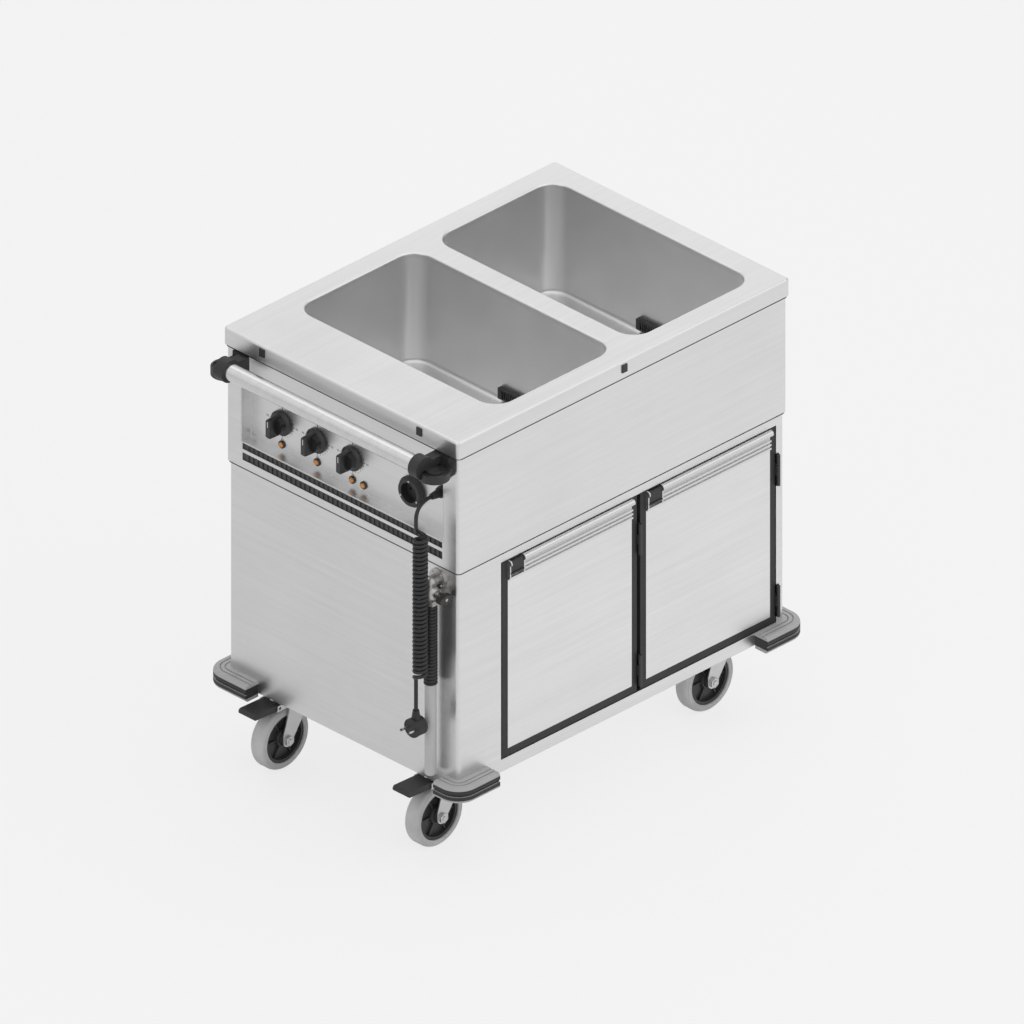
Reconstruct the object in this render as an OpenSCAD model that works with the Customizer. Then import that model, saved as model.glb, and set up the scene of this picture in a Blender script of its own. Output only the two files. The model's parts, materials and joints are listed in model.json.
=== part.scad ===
// Bain marie hot cupboard: two wet wells over two heated compartments, on four swivel castors.
// Millimetres. +X runs from the control end to the far end, -Y is the door side, +Z is up.
// The floor is z = 0 and the origin is below the middle of the trolley without its lead.

/* [Worktop] */
// Height of the worktop over the floor
top_z = 900; // [890:1:920]
// Height of the turned-down edge
fascia_h = 35; // [28:1:36]
// Thickness of the worktop sheet
top_t = 1.5; // [1.2:0.1:2]
// Corner radius of the worktop in plan
top_r = 8; // [7:0.5:10]
// Outer bend radius of the worktop edge
top_bend_r = 5; // [3:0.5:6]
// Height of the rectangular blanking plugs in the fascia
plug_h = 16; // [12:1:18]
// Width of the blanking plugs
plug_w = 13; // [10:1:16]
// How far the blanking plugs stand proud
plug_out = 2; // [1:0.5:3]

/* [Wells] */
// Opening of a well along X
well_l = 308; // [300:1:312]
// Opening of a well along Y
well_w = 516; // [500:1:520]
// Plan corner radius of a well
well_r = 41; // [36:1:50]
// Depth of a well below the worktop
well_depth = 231; // [220:1:233]
// Fillet between the walls and the floor of a well
well_floor_r = 9; // [6:1:14]
// Thickness of the well sheet
well_t = 1.2; // [1:0.1:1.6]
// How far the lip of the worktop turns down into a well
lip_h = 12; // [9:1:16]
// Bend radius where the worktop turns down into a well
lip_r = 4; // [3:0.5:5]
// Distance from a well to the long edges of the worktop
well_side = 46; // [42:1:50]
// Width of a drain strainer along the well's wall
strainer_w = 72; // [60:1:90]
// How far a drain strainer stands off the wall
strainer_out = 10; // [8:1:12]
// Height of a drain strainer
strainer_h = 22; // [20:1:26]
// Thickness of the heating pad under a well
pad_t = 4; // [3:0.5:5]

/* [Casings] */
// Distance from the worktop edge in to the upper casing
casing_inset = 4; // [3.5:0.5:5]
// Distance from the worktop edge in to the lower casing
body_inset = 8; // [7:0.5:9]
// Height of the bottom edge of the upper casing
casing_z = 620; // [618:1:624]
// Height of the bottom edge of the lower casing, where the castors bolt on
body_z = 157; // [155:1:160]
// Thickness of the casing sheets
sheet = 1.5; // [1.2:0.1:1.8]
// Plan corner radius of both casings
casing_r = 8; // [7:0.5:10]
// Width of the folded edges inside the casings
fold_w = 20; // [18:1:22]

/* [Control end] */
// Distance from the worktop's side in to the recess for the control panel
recess_side = 42; // [40:1:50]
// Depth of the recess
recess_d = 25; // [20:1:30]
// Distance from the worktop down to the ledge below the control panel
recess_drop = 227; // [224:1:228]
// Diameter of a control knob
knob_d = 50; // [44:1:56]
// How far a knob stands out of the panel
knob_out = 38; // [32:1:42]
// Distance between the knobs
knob_pitch = 91; // [84:1:96]
// Distance from the recess's side to the first knob
knob_side = 82; // [76:1:88]
// Distance from the worktop down to the knobs
knob_drop = 164; // [160:1:168]
// Diameter of a pilot lamp lens
lamp_d = 11; // [9:1:14]
// Distance from the worktop down to the pilot lamps
lamp_drop = 210; // [208:1:213]
// Outer diameter of the parking socket
socket_d = 62; // [56:1:64]
// Distance from the recess's door side to the parking socket
socket_side = 104; // [100:1:108]
// Height of the upper ventilation slot
vent_a_h = 13; // [10:1:14]
// Height of the lower ventilation slot
vent_b_h = 16; // [12:1:17]
// Distance between neighbouring louvre fins
fin_pitch = 12; // [10:1:16]

/* [Push handle] */
// Diameter of the handle bar
bar_d = 33; // [28:1:36]
// Distance from the worktop edge out to the bar's centre line
bar_out = 45; // [42:1:50]
// Distance from the worktop down to the bar's centre line
bar_drop = 51; // [50:1:54]
// Distance from the worktop's side in to the collar that holds the bar
bar_end_in = 64; // [60:1:68]
// Wall of the bar tube
bar_t = 2; // [1.5:0.5:3]
// Diameter of the round corner of a handle bracket
eye_d = 58; // [54:1:62]

/* [Doors] */
// How far a door laps over each side of its compartment
door_lap = 7; // [6:0.5:7.5]
// Width of the dark seal down both sides of a door
seal_w = 14; // [12:1:16]
// Height of the dark seal along the bottom of a door
seal_h = 16; // [13:1:18]
// Thickness of a door's outer leaf
door_t = 14; // [12:1:15]
// Thickness of the inner pan of a door
pan_t = 16; // [12:1:18]
// Height of the grip profile along the top of a door
grip_h = 43; // [40:1:48]
// How far the grip stands out of the door
grip_out = 10; // [8:1:12]
// Height of a hinge
hinge_h = 64; // [56:1:70]
// Outer diameter of a hinge knuckle
knuckle_d = 7; // [6:0.5:7.5]
// Diameter of a hinge pin
hinge_pin_d = 3.6; // [3:0.1:4]
// Width of a latch paddle
latch_w = 33; // [28:1:38]
// Top of the bottom rail over the body's bottom edge
rail_h = 25; // [24:1:26]

/* [Compartments] */
// How far a compartment reaches past each side of the well over it
bay_lap = 13; // [12:0.5:14]
// Space between the two compartments
bay_gap = 23; // [22:0.5:26]
// Space between the first compartment and the control end of the lower casing
service_w = 120.5; // [118:0.5:124]
// Space between the second compartment and the far end of the lower casing
far_post = 29.5; // [28:0.5:32]
// Space behind the compartments
rear_room = 25; // [20:1:50]
// Thickness of the compartment liners
liner_t = 1.2; // [1:0.1:1.5]
// Number of tray rails down each side
rail_n = 3; // [2:1:4]
// Ledge of a tray rail
rail_w = 11; // [9:1:13]

/* [Bumpers] */
// How far the corner bumpers stand out of the lower casing
bumper_out = 33; // [28:1:35]
// Height of a corner bumper
bumper_h = 33; // [28:1:34]
// Length of a bumper leg along the casing, from the casing's corner
bumper_leg = 75; // [60:1:85]

/* [Castors] */
// Diameter of a wheel
wheel_d = 125; // [120:1:126]
// Width of a tyre
tyre_w = 32; // [28:1:34]
// Diameter of the hub
hub_d = 97; // [90:1:100]
// Diameter of a wheel's axle
axle_d = 12; // [10:1:14]
// Distance from the swivel axis back to the axle
trail = 38; // [34:1:40]
// Distance from the worktop's end in to the swivel axes
castor_in_x = 79; // [76:1:84]
// Distance from the worktop's side in to the swivel axes
castor_in_y = 105; // [100:1:110]
// Reach of a brake pedal from the swivel axis
pedal_reach = 125; // [118:1:130]

/* [Drain] */
// Outer diameter of the drain pipes
pipe_d = 22; // [20:1:24]
// Wall of the drain pipes
pipe_t = 2; // [1.5:0.5:2.5]
// Distance from the lower casing out to the downpipe's centre line
drain_out = 20; // [19:1:21]
// Distance from the worktop down to the tap's spindle
tap_drop = 332; // [328:1:336]
// Height of the open lower end of the downpipe
drain_end_z = 186; // [184:1:198]
// Distance between the ribs of the hose connector
rib_pitch = 7; // [6:0.5:9]

/* [Mains lead] */
// Diameter of the lead
lead_d = 7.5; // [7:0.1:7.8]
// Outer diameter of the curly part
coil_d = 29.5; // [28:0.5:30]
// Number of curls
curls = 34; // [30:1:35]

/* [Hidden] */
$fn = 64;

// Cuts run past a face by this much
over = 1;
// Running clearance on a radius, and the gap between parts that move past each other
run_fit = 0.05;
gap = 0.3;
// Turned about X, Y or Z, a shape meets the next quarter
quarter = 90;
half_turn = 180;

// Compartments and casings, as wide as the wells need
bay_w = well_l + 2 * bay_lap;
bay_pitch = bay_w + bay_gap;
body_l = service_w + bay_w + bay_pitch + far_post;
top_l = body_l + 2 * body_inset;
top_w = well_w + 2 * well_side;
casing_l = top_l - 2 * casing_inset;
casing_w = top_w - 2 * casing_inset;
body_w = top_w - 2 * body_inset;
top_under = top_z - top_t;
casing_top = top_under - gap;
casing_end = -casing_l / 2;
body_end = -body_l / 2;
body_front = -body_w / 2;
inner_l = body_l - 2 * sheet;
inner_w = body_w - 2 * sheet;
panel_end = casing_end + recess_d;
ledge_z = top_z - recess_drop;
deck_z = casing_z + sheet;

// The handle reaches furthest at the control end and the bumpers at the far end
collar_t = 6;
collar_d = bar_d + 2 * collar_t;
handle_reach = top_l / 2 + bar_out + collar_d / 2;
bumper_reach = body_l / 2 + bumper_out;
origin_x = (handle_reach - bumper_reach) / 2;

// Wells
well_floor_z = top_z - well_depth;
tank_r = well_r + top_t;
tank_half = well_l / 2 + top_t;
strainer_z = well_floor_z + well_floor_r;
drain_z = strainer_z + strainer_h / 2;
bore_d = pipe_d - 2 * pipe_t;

// Doors, in the place of the bay that each one closes
door_w = bay_w + 2 * door_lap;
face_y = body_front;
frame_t = sheet;
seal_gap = 2;
frame_y = face_y + door_t + seal_gap;
bay_d = inner_w / 2 - rear_room - frame_y - frame_t;
jamb_gap = 3.5;
door_gap = 2;
door_z = body_z + rail_h + door_gap;
head_h = 22;
head_z = casing_z - head_h;
door_top = head_z - door_gap;
door_h = door_top - door_z;
panel_w = door_w - 2 * seal_w;
hinge_out = (bay_pitch - door_w) / 2;
hinge_x = door_w / 2 + hinge_out;
hinge_y = face_y - knuckle_d / 2;
hinge_rise = 12;
hinge_drop = 17;
hinge_z_low = door_z + hinge_rise;
hinge_z_high = door_top - grip_h - hinge_drop - hinge_h;
leaf_t = 1.5;
opening_left = bay_x(0) - door_w / 2 - jamb_gap;
opening_right = bay_x(1) + door_w / 2 + door_gap;
mouth_lap = 14;
mouth_z = door_z + mouth_lap;
mouth_h = door_h - 2 * mouth_lap;
pan_side_gap = 4;
pan_w = bay_w - 2 * pan_side_gap;
pan_h = mouth_h - 2 * pan_side_gap;
pan_z = mouth_z + pan_side_gap;
filling_d = 6;

// Control end
recess_w = top_w - 2 * recess_side;
bar_l = top_w - 2 * bar_end_in;
knob_z = top_z - knob_drop;
lamp_z = top_z - lamp_drop;
shaft_d = 6;
bar_x = -top_l / 2 - bar_out;
bar_z = top_z - bar_drop;
gland_tip_d = 12;
vent_side = 4;
vent_lap = 1;
vent_gap = 7;
vent_w = recess_w - 2 * vent_side;
vent_a_z = ledge_z - vent_a_h - vent_lap;
vent_b_z = vent_a_z - vent_b_h - vent_gap;

// Castors
wheel_r = wheel_d / 2;
castor_x = top_l / 2 - castor_in_x;
castor_y = top_w / 2 - castor_in_y;
plate_t = 3;
race_d = 60;
race_h = 9;
crown_h = 12;
crown_z = body_z - plate_t - race_h - gap - crown_h;
king_d = 14;
fork_gap = 40;
fork_t = 3;
pedal_x = -60;
pedal_z = crown_z + crown_h / 2;
pedal_pin_d = 6;
pedal_w = 40;
pedal_h = 13;

// Drain
drain_x = body_end - drain_out;
drain_side = 60;
drain_y = -top_w / 2 + drain_side;
tap_z = top_z - tap_drop;
outlet_z = tap_z + pipe_d;
sleeve_drop = 24;
rib_n = 24;
sleeve_top = tap_z - sleeve_drop;
sleeve_end = sleeve_top - rib_n * rib_pitch;

element_d = 8;
element_bend_r = 3 / 2 * element_d;
element_l = bay_w - 8 * element_d;
element_y = frame_y + frame_t + bay_d - 2 * element_d;
manifold_in = 52;
manifold_x = body_end + manifold_in;
lamp_pitch = 29;
lamp_ys = [knob_at(0), knob_at(1), knob_at(2), knob_at(2) - lamp_pitch];
shaft_l = 20;
gland_thread_d = 18;
socket_y = -recess_w / 2 + socket_side;
socket_drop = 6;
socket_z = knob_z - socket_drop;
socket_well_d = 46;
pin_spread = 19;
socket_in = 8;
plug_in = 101;
lever_out = 30;
lever_t = 12;
lever_stem_d = 6;
rib_out = 2;
rib_shares = [[0, 0], [1, 0.2], [1, 0.6], [0, 0.8]];
bumper_gap = 1;
bumper_z = door_z - bumper_gap - bumper_h;
hose_room = 8;
crown_reach = 26;
seal_in = 1;
lead_sides = 10;
cheek_t = 2.5;
latch_low = 6;
finger_gap = 8;
latch_back = 3;
latch_t = 6;
latch_pin_d = 3;
latch_barrel_r = 3;
latch_paddle_t = 3;
latch_pin_y = -2.5;
latch_pin_drop = 5;
latch_pin_z = grip_h - latch_pin_drop;

// Mains lead, in the frame of the part: it leaves the gland, turns down and hangs
lead_r = lead_d / 2;
lead_path_upper = [
    [-413, -240, 765], [-421, -240, 765], [-429, -240, 764], [-437, -240, 761], [-444, -240, 756],
    [-449, -240, 749], [-452, -240, 741], [-453, -240, 733], [-453, -240, 725]
];
lead_path_lower = [[-453, -240, 385], [-453, -240, 367], [-453, -240, 349], [-453, -240, 332]];
lead_start = lead_path_upper[0];
lead_y = lead_start[1];
gland_z = lead_start[2];
gland_reach = panel_end + origin_x - lead_start[0];

nut_sides = 6;

function bay_x(i) = body_end + service_w + bay_w / 2 + i * bay_pitch;

function knob_at(i) = recess_w / 2 - knob_side - i * knob_pitch;

// Moves a shape from the middle of the casings to the frame of the part
module placed() {
    translate([origin_x, 0, 0]) children();
}

// A block in the XZ plane's first quarter with its upper outer corner rounded
module bent_block(w, h, r) {
    square([w - r, h]);
    square([w, h - r]);
    translate([w - r, h - r]) intersection() {
        circle(r);
        square(r);
    }
}

// A rectangle about the middle with rounded corners
module rounded_rect(l, w, r) {
    square([l - 2 * r, w], center = true);
    square([l, w - 2 * r], center = true);
    for (sx = [-1, 1], sy = [-1, 1])
        translate([sx * (l / 2 - r), sy * (w / 2 - r)]) circle(r);
}

module rounded_slab(l, w, h, r) {
    linear_extrude(h) rounded_rect(l, w, r);
}

// Carries a profile round a rounded rectangle. The profile's x starts at the corner centre.
module carried_round(l, w, r) {
    half_l = l / 2 - r;
    half_w = w / 2 - r;
    for (turn = [0 : 3]) {
        along_x = turn % 2;
        out = along_x ? half_w : half_l;
        side = along_x ? half_l : half_w;
        rotate([0, 0, turn * quarter]) {
            translate([out, side, 0]) {
                rotate([quarter, 0, 0]) linear_extrude(2 * side) children();
                rotate_extrude(angle = quarter) children();
            }
        }
    }
}

// A box from its lower corner to its upper corner
module box(from, to) {
    translate(from) cube(to - from);
}

module along_x(d, l) {
    rotate([0, quarter, 0]) cylinder(d = d, h = l);
}

module along_y(d, l) {
    rotate([-quarter, 0, 0]) cylinder(d = d, h = l);
}

// The sheet's edge where it turns down into a well, carried round the opening
module lip_profile() {
    translate([well_r, -lip_h]) square([top_t, lip_h - lip_r]);
    intersection() {
        translate([well_r, -lip_r]) square(lip_r);
        difference() {
            translate([well_r + lip_r, -lip_r]) circle(lip_r);
            translate([well_r + lip_r, -lip_r]) circle(lip_r - top_t);
        }
    }
}

// The worktop's folded edge, from the corner centre out
module fascia_profile() {
    difference() {
        bent_block(top_r, fascia_h, top_bend_r);
        translate([-over, -over])
            bent_block(top_r - top_t + over, fascia_h - top_t + over, top_bend_r - top_t);
    }
}

// Worktop: one folded sheet with two openings whose edges turn down
module worktop() {
    color("gainsboro") placed() {
        translate([0, 0, top_z - fascia_h]) carried_round(top_l, top_w, top_r) fascia_profile();
        difference() {
            translate([0, 0, top_under + top_t / 2])
                cube([top_l - 2 * top_r, top_w - 2 * top_r, top_t], center = true);
            for (i = [0, 1])
                translate([bay_x(i), 0, top_under - over])
                    rounded_slab(well_l + 2 * lip_r, well_w + 2 * lip_r, top_t + 2 * over, well_r + lip_r);
        }
        for (i = [0, 1])
            translate([bay_x(i), 0, top_z]) carried_round(well_l, well_w, well_r) lip_profile();
    }
}

// Well: a deep tank with a filleted floor, welded round the lip of its opening
module well(i) {
    tank_l = well_l + 2 * top_t;
    tank_w = well_w + 2 * top_t;
    tank_top = top_z - lip_r;
    tank_h = tank_top - well_floor_z;
    color("silver") placed() translate([bay_x(i), 0, 0]) difference() {
        union() {
            translate([0, 0, tank_top])
                mirror([0, 0, 1]) carried_round(tank_l + 2 * well_t, tank_w + 2 * well_t, tank_r + well_t)
                    difference() {
                        bent_block(tank_r + well_t, tank_h + well_t, well_floor_r + well_t);
                        translate([-over, -over]) bent_block(tank_r + over, tank_h + over, well_floor_r);
                        translate([-over, -over]) square([over, tank_h + 2 * over]);
                    }
            translate([0, 0, well_floor_z - well_t / 2])
                cube([tank_l - 2 * tank_r, tank_w - 2 * tank_r, well_t], center = true);
        }
        translate([tank_half - over, 0, drain_z]) along_x(bore_d, well_t + 2 * over);
    }
}

module control_end_well() {
    well(0);
}

module far_end_well() {
    well(1);
}

// Strainers: slotted hoods on the wells' far walls, over the drain outlets
module drain_strainers() {
    strainer_t = 1.5;
    slot_w = 3;
    slot_n = 9;
    slot_pitch = 2 * slot_w;
    inside_w = strainer_w - 2 * strainer_t;
    color("dimgray") placed() for (i = [0, 1])
        translate([bay_x(i) + tank_half, 0, strainer_z]) difference() {
            box([-strainer_out, -strainer_w / 2, 0], [0, strainer_w / 2, strainer_h]);
            box(
                [-strainer_out + strainer_t, -inside_w / 2, strainer_t],
                [over, inside_w / 2, strainer_h - strainer_t]
            );
            for (k = [0 : slot_n - 1])
                translate([-strainer_out - over, (k - (slot_n - 1) / 2) * slot_pitch - slot_w / 2, slot_w])
                    cube([strainer_t + 2 * over, slot_w, strainer_h - 2 * slot_w]);
        }
}

// Pads under the wells and a looped element at the back of each compartment
module heaters() {
    pad_l = well_l - 2 * well_r;
    pad_w = well_w - 2 * well_r;
    color("orangered") placed() for (i = [0, 1]) {
        translate([bay_x(i) - pad_l / 2, -pad_w / 2, well_floor_z - well_t - pad_t])
            cube([pad_l, pad_w, pad_t]);
        translate([bay_x(i), element_y, mouth_z]) element_loop();
    }
}

// A tube bent into a long loop, standing on two feet
module element_loop() {
    translate([0, 0, 2 * element_d]) {
        for (up = [0, 1])
            translate([-element_l / 2, 0, 2 * up * element_bend_r]) along_x(element_d, element_l);
        for (s = [0, 1]) rotate([0, 0, s * half_turn])
            translate([element_l / 2, 0, element_bend_r]) rotate([quarter, 0, 0])
                rotate([0, 0, -quarter]) rotate_extrude(angle = half_turn)
                    translate([element_bend_r, 0]) circle(d = element_d);
    }
    for (s = [-1, 1])
        translate([s * element_l / 3 - element_d / 2, -element_d / 2, 0])
            cube([element_d, element_d, 2 * element_d]);
}

// Upper casing: the folded band round the wells, open for the controls and the two vents
module upper_casing() {
    band_h = casing_top - casing_z;
    color("gainsboro") placed() difference() {
        union() {
            translate([0, 0, casing_z]) carried_round(casing_l, casing_w, casing_r)
                polygon([
                    [0, 0], [casing_r, 0], [casing_r, band_h],
                    [casing_r - sheet, band_h], [casing_r - sheet, sheet], [0, sheet]
                ]);
            inner_fold(casing_l, casing_w, casing_r, casing_z);
        }
        end_cut(casing_end, recess_w, ledge_z, top_z);
        end_cut(casing_end, vent_w, vent_a_z, vent_a_z + vent_a_h);
        end_cut(casing_end, vent_w, vent_b_z, vent_b_z + vent_b_h);
    }
}

// A frame of sheet that lies flat inside a casing, from the corner centres in
module inner_fold(l, w, r, z) {
    difference() {
        translate([0, 0, z + sheet / 2]) cube([l - 2 * r, w - 2 * r, sheet], center = true);
        translate([0, 0, z + sheet / 2])
            cube([l - 2 * fold_w, w - 2 * fold_w, sheet + 2 * over], center = true);
    }
}

// A wide cut through the control end's sheet
module end_cut(x, w, z_from, z_to) {
    box([x - over, -w / 2, z_from], [x + sheet + over, w / 2, z_to]);
}

// Control panel: a folded tray set back into the upper casing
module control_panel() {
    outer_w = recess_w - 2 * gap;
    color("silver") placed() difference() {
        box([casing_end, -outer_w / 2, ledge_z + gap], [panel_end + sheet, outer_w / 2, casing_top]);
        box(
            [casing_end - over, -outer_w / 2 + sheet, ledge_z + gap + sheet],
            [panel_end, outer_w / 2 - sheet, top_z]
        );
        for (i = [0 : 2])
            translate([panel_end - over, knob_at(i), knob_z])
                along_x(2 * shaft_d, sheet + 2 * over);
        for (y = lamp_ys)
            translate([panel_end - over, y, lamp_z]) along_x(lamp_d + 2 * gap, sheet + 2 * over);
        translate([panel_end - over, lead_y, gland_z]) along_x(gland_thread_d + 2 * gap, sheet + 2 * over);
        translate([panel_end - over, socket_y, socket_z]) along_x(socket_well_d + 2 * gap, sheet + 2 * over);
    }
}

// Louvre bars behind the two ventilation slots, with slanted fins
module vent_louvres() {
    color("dimgray") placed() {
        louvre_bar(vent_a_z, vent_a_h);
        louvre_bar(vent_b_z, vent_b_h);
    }
}

module louvre_bar(z, h) {
    inset = 2 * gap;
    fin_w = fin_pitch / 3;
    bar_w = vent_w - 2 * inset;
    fin_n = floor(bar_w / fin_pitch) - 1;
    back_t = 3;
    face_x = casing_end + sheet;
    translate([face_x, 0, z]) {
        box([0, -bar_w / 2 - fin_w, -back_t / 2 + gap], [back_t, bar_w / 2 + fin_w, h + back_t / 2 - gap]);
        for (i = [0 : fin_n])
            translate([0, (i - fin_n / 2) * fin_pitch, inset]) linear_extrude(h - 2 * inset)
                polygon([[-sheet, -fin_w], [0, -fin_w / 2], [over, fin_w], [over - sheet, fin_w]]);
        box([-sheet, -bar_w / 2, inset], [over, bar_w / 2, inset + over]);
        box([-sheet, -bar_w / 2, h - inset - over], [over, bar_w / 2, h - inset]);
    }
}

// Thermostats on the back of the control panel, each with its shaft
module thermostats() {
    case_l = 34;
    case_w = 44;
    color("dimgray") placed() for (i = [0 : 2])
        translate([panel_end + sheet, knob_at(i), knob_z]) {
            box([0, -case_w / 2, -case_w / 2], [case_l, case_w / 2, case_w / 2]);
            translate([-sheet - shaft_l, 0, 0]) along_x(shaft_d, shaft_l + sheet + over);
        }
}

// Knob: a dial skirt with a tapered body and a raised finger bar
module knob(i) {
    skirt_h = 7;
    body_r = knob_d * 19 / 50;
    bar_w = knob_d / 5;
    lip = 2;
    color("dimgray") placed()
        translate([panel_end - gap, knob_at(i), knob_z]) rotate([0, -quarter, 0])
            difference() {
                union() {
                    rotate_extrude() polygon([
                        [0, 0], [knob_d / 2, 0], [knob_d / 2, skirt_h - lip], [knob_d / 2 - lip, skirt_h],
                        [body_r, skirt_h + lip], [body_r - lip, knob_out / 2], [0, knob_out / 2]
                    ]);
                    intersection() {
                        translate([0, 0, skirt_h]) linear_extrude(knob_out - skirt_h)
                            square([knob_d, bar_w], center = true);
                        rotate_extrude() polygon([
                            [0, 0], [body_r + lip, 0], [body_r, knob_out - lip],
                            [body_r - lip, knob_out], [0, knob_out]
                        ]);
                    }
                }
                translate([0, 0, -over]) cylinder(d = shaft_d + 2 * run_fit, h = shaft_l + over);
                translate([body_r - 2 * lip, -lip / 2, knob_out - lip / 2]) cube([2 * lip, lip, lip]);
            }
}

module knob_1() {
    knob(0);
}

module knob_2() {
    knob(1);
}

module knob_3() {
    knob(2);
}

// Pilot lamps: a lens in a stepped body that passes through the panel
module pilot_lamps() {
    bezel_h = 2;
    dome_h = 5;
    body_l = 16;
    color("orange") placed() for (y = lamp_ys)
        translate([panel_end, y, lamp_z]) rotate([0, -quarter, 0]) {
            cylinder(d = lamp_d + 2 * bezel_h, h = bezel_h);
            cylinder(d1 = lamp_d, d2 = lamp_d - bezel_h, h = dome_h);
            translate([0, 0, -body_l]) cylinder(d = lamp_d, h = body_l + over);
        }
}

// Parking socket for the mains plug: a round cup with a flange and three blind holes
module parking_socket() {
    flange_h = 12;
    cup_l = 26;
    cup_d = 40;
    cup_depth = 15;
    pin_hole_d = 6;
    color("dimgray") placed() translate([panel_end, socket_y, socket_z]) rotate([0, -quarter, 0])
        difference() {
            union() {
                rotate_extrude() polygon([
                    [0, 0], [socket_d / 2, 0], [socket_d / 2, flange_h / 2],
                    [socket_d / 2 - flange_h / 3, flange_h], [0, flange_h]
                ]);
                translate([0, 0, -cup_l]) cylinder(d = socket_well_d, h = cup_l + over);
            }
            translate([0, 0, flange_h - cup_depth]) cylinder(d = cup_d, h = cup_depth + over);
            for (s = [-1, 1])
                translate([0, s * pin_spread / 2, -cup_depth]) cylinder(d = pin_hole_d, h = cup_depth);
        }
}

// Gland: a hexagon nut on the panel and a ribbed sleeve that keeps the lead from kinking
module cable_gland() {
    nut_d = 26;
    nut_h = 8;
    collar_h = 6;
    lug_l = 14;
    boot_ribs = 5;
    boot_top_d = gland_tip_d;
    boot_taper = gland_thread_d - boot_top_d;
    boot_l = gland_reach - nut_h - collar_h;
    step = boot_l / boot_ribs;
    color("dimgray") placed() translate([panel_end, lead_y, gland_z]) rotate([0, -quarter, 0]) {
        translate([0, 0, -lug_l]) cylinder(d = gland_thread_d, h = lug_l + over);
        cylinder(d = nut_d, h = nut_h, $fn = nut_sides);
        translate([0, 0, nut_h]) cylinder(d = gland_thread_d + 2 * collar_h / 3, h = collar_h);
        translate([0, 0, nut_h + collar_h]) rotate_extrude() polygon(concat(
            [[0, 0]],
            [for (k = [0 : boot_ribs - 1], end = [0, 1])
                let (rib = k + end / 2) [(gland_thread_d - boot_taper * rib / boot_ribs) / 2, rib * step]],
            [[boot_top_d / 2, boot_l], [0, boot_l]]
        ));
    }
}

// Handle bar: a tube whose ends sit in the brackets
module handle_bar() {
    color("silver") placed() translate([bar_x, -bar_l / 2 - socket_in, bar_z]) difference() {
        along_y(bar_d, bar_l + 2 * socket_in);
        translate([0, -over, 0]) along_y(bar_d - 2 * bar_t, bar_l + 2 * socket_in + 2 * over);
    }
}

// Brackets: moulded corners with a collar for the bar and a round eye at the outside
module handle_brackets() {
    color("dimgray") placed() for (side = [0, 1]) mirror([0, side, 0]) handle_bracket();
}

module handle_bracket() {
    arm_w = 22;
    arm_h = 34;
    end_t = 5;
    eye_h = 16;
    eye_hole_d = 26;
    groove_w = 4;
    pad_h = 44;
    eye_over = 11;
    eye_drop = 6;
    collar_y = -bar_l / 2;
    eye_x = bar_x + eye_d / 2 - eye_over;
    eye_y = collar_y - eye_d / 2;
    eye_z = bar_z - arm_h / 2 - eye_drop;
    difference() {
        union() {
            translate([bar_x, collar_y - arm_w, bar_z]) along_y(collar_d, arm_w);
            box(
                [bar_x, collar_y - arm_w, bar_z - arm_h / 2],
                [casing_end, collar_y, bar_z + arm_h / 3]
            );
            box(
                [casing_end - end_t, eye_y - eye_d / 6, bar_z - pad_h * 3 / 4],
                [casing_end, collar_y, bar_z + arm_h / 3]
            );
            translate([eye_x, eye_y, eye_z]) cylinder(d = eye_d, h = eye_h);
            box([eye_x, eye_y - eye_d / 3, eye_z], [casing_end, collar_y, eye_z + eye_h]);
        }
        translate([bar_x, collar_y - socket_in - gap, bar_z]) along_y(bar_d + 2 * run_fit, arm_w);
        translate([eye_x, eye_y, eye_z - over]) cylinder(d = eye_hole_d, h = eye_h + 2 * over);
        translate([eye_x, eye_y, eye_z + eye_h - groove_w / 2]) difference() {
            cylinder(d = eye_d - 2 * groove_w, h = groove_w);
            translate([0, 0, -over]) cylinder(d = eye_hole_d + 2 * groove_w, h = groove_w + 2 * over);
        }
    }
}

// Blanking plugs for accessories: two on the control end's fascia and one on the door side's
module fascia_plugs() {
    shank = 2;
    plug_z = top_z - top_bend_r - plug_h - shank;
    color("dimgray") placed() {
        for (s = [-1, 1])
            translate([-top_l / 2, s * (top_w / 2 - plug_in), plug_z])
                box([-plug_out, -plug_w / 2, 0], [0, plug_w / 2, plug_h]);
        translate([0, -top_w / 2, plug_z]) box([-plug_w / 2, -plug_out, 0], [plug_w / 2, 0, plug_h]);
    }
}

// Lower casing: a band open on the door side, its door opening edged with folds
module lower_casing() {
    band_h = casing_z - body_z;
    left = opening_left;
    right = opening_right;
    low = body_z + rail_h;
    fold_y = frame_y;
    hinge_cut_w = 7;
    color("gainsboro") placed() difference() {
        union() {
            translate([0, 0, body_z]) carried_round(body_l, body_w, casing_r)
                polygon([
                    [casing_r - sheet, 0], [casing_r, 0], [casing_r, band_h],
                    [0, band_h], [0, band_h - sheet], [casing_r - sheet, band_h - sheet]
                ]);
            inner_fold(body_l, body_w, casing_r, casing_z - sheet);
            box([left - sheet, face_y + sheet / 2, low], [left, fold_y, head_z]);
            box([right, face_y + sheet / 2, low], [right + sheet, fold_y, head_z]);
            box([left - sheet, face_y + sheet / 2, low - sheet], [right + sheet, fold_y, low]);
            box([left - sheet, face_y + sheet / 2, head_z], [right + sheet, fold_y, head_z + sheet]);
        }
        box([left, face_y - over, low], [right, face_y + sheet + over, head_z]);
        for (z = [hinge_z_low, hinge_z_high])
            box(
                [right - over, face_y - over, z - door_gap],
                [right + hinge_cut_w, fold_y + over, z + hinge_h + door_gap]
            );
        translate([body_end - over, drain_y, outlet_z]) along_x(pipe_d + 2 * gap, sheet + 2 * over);
    }
}

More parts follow.
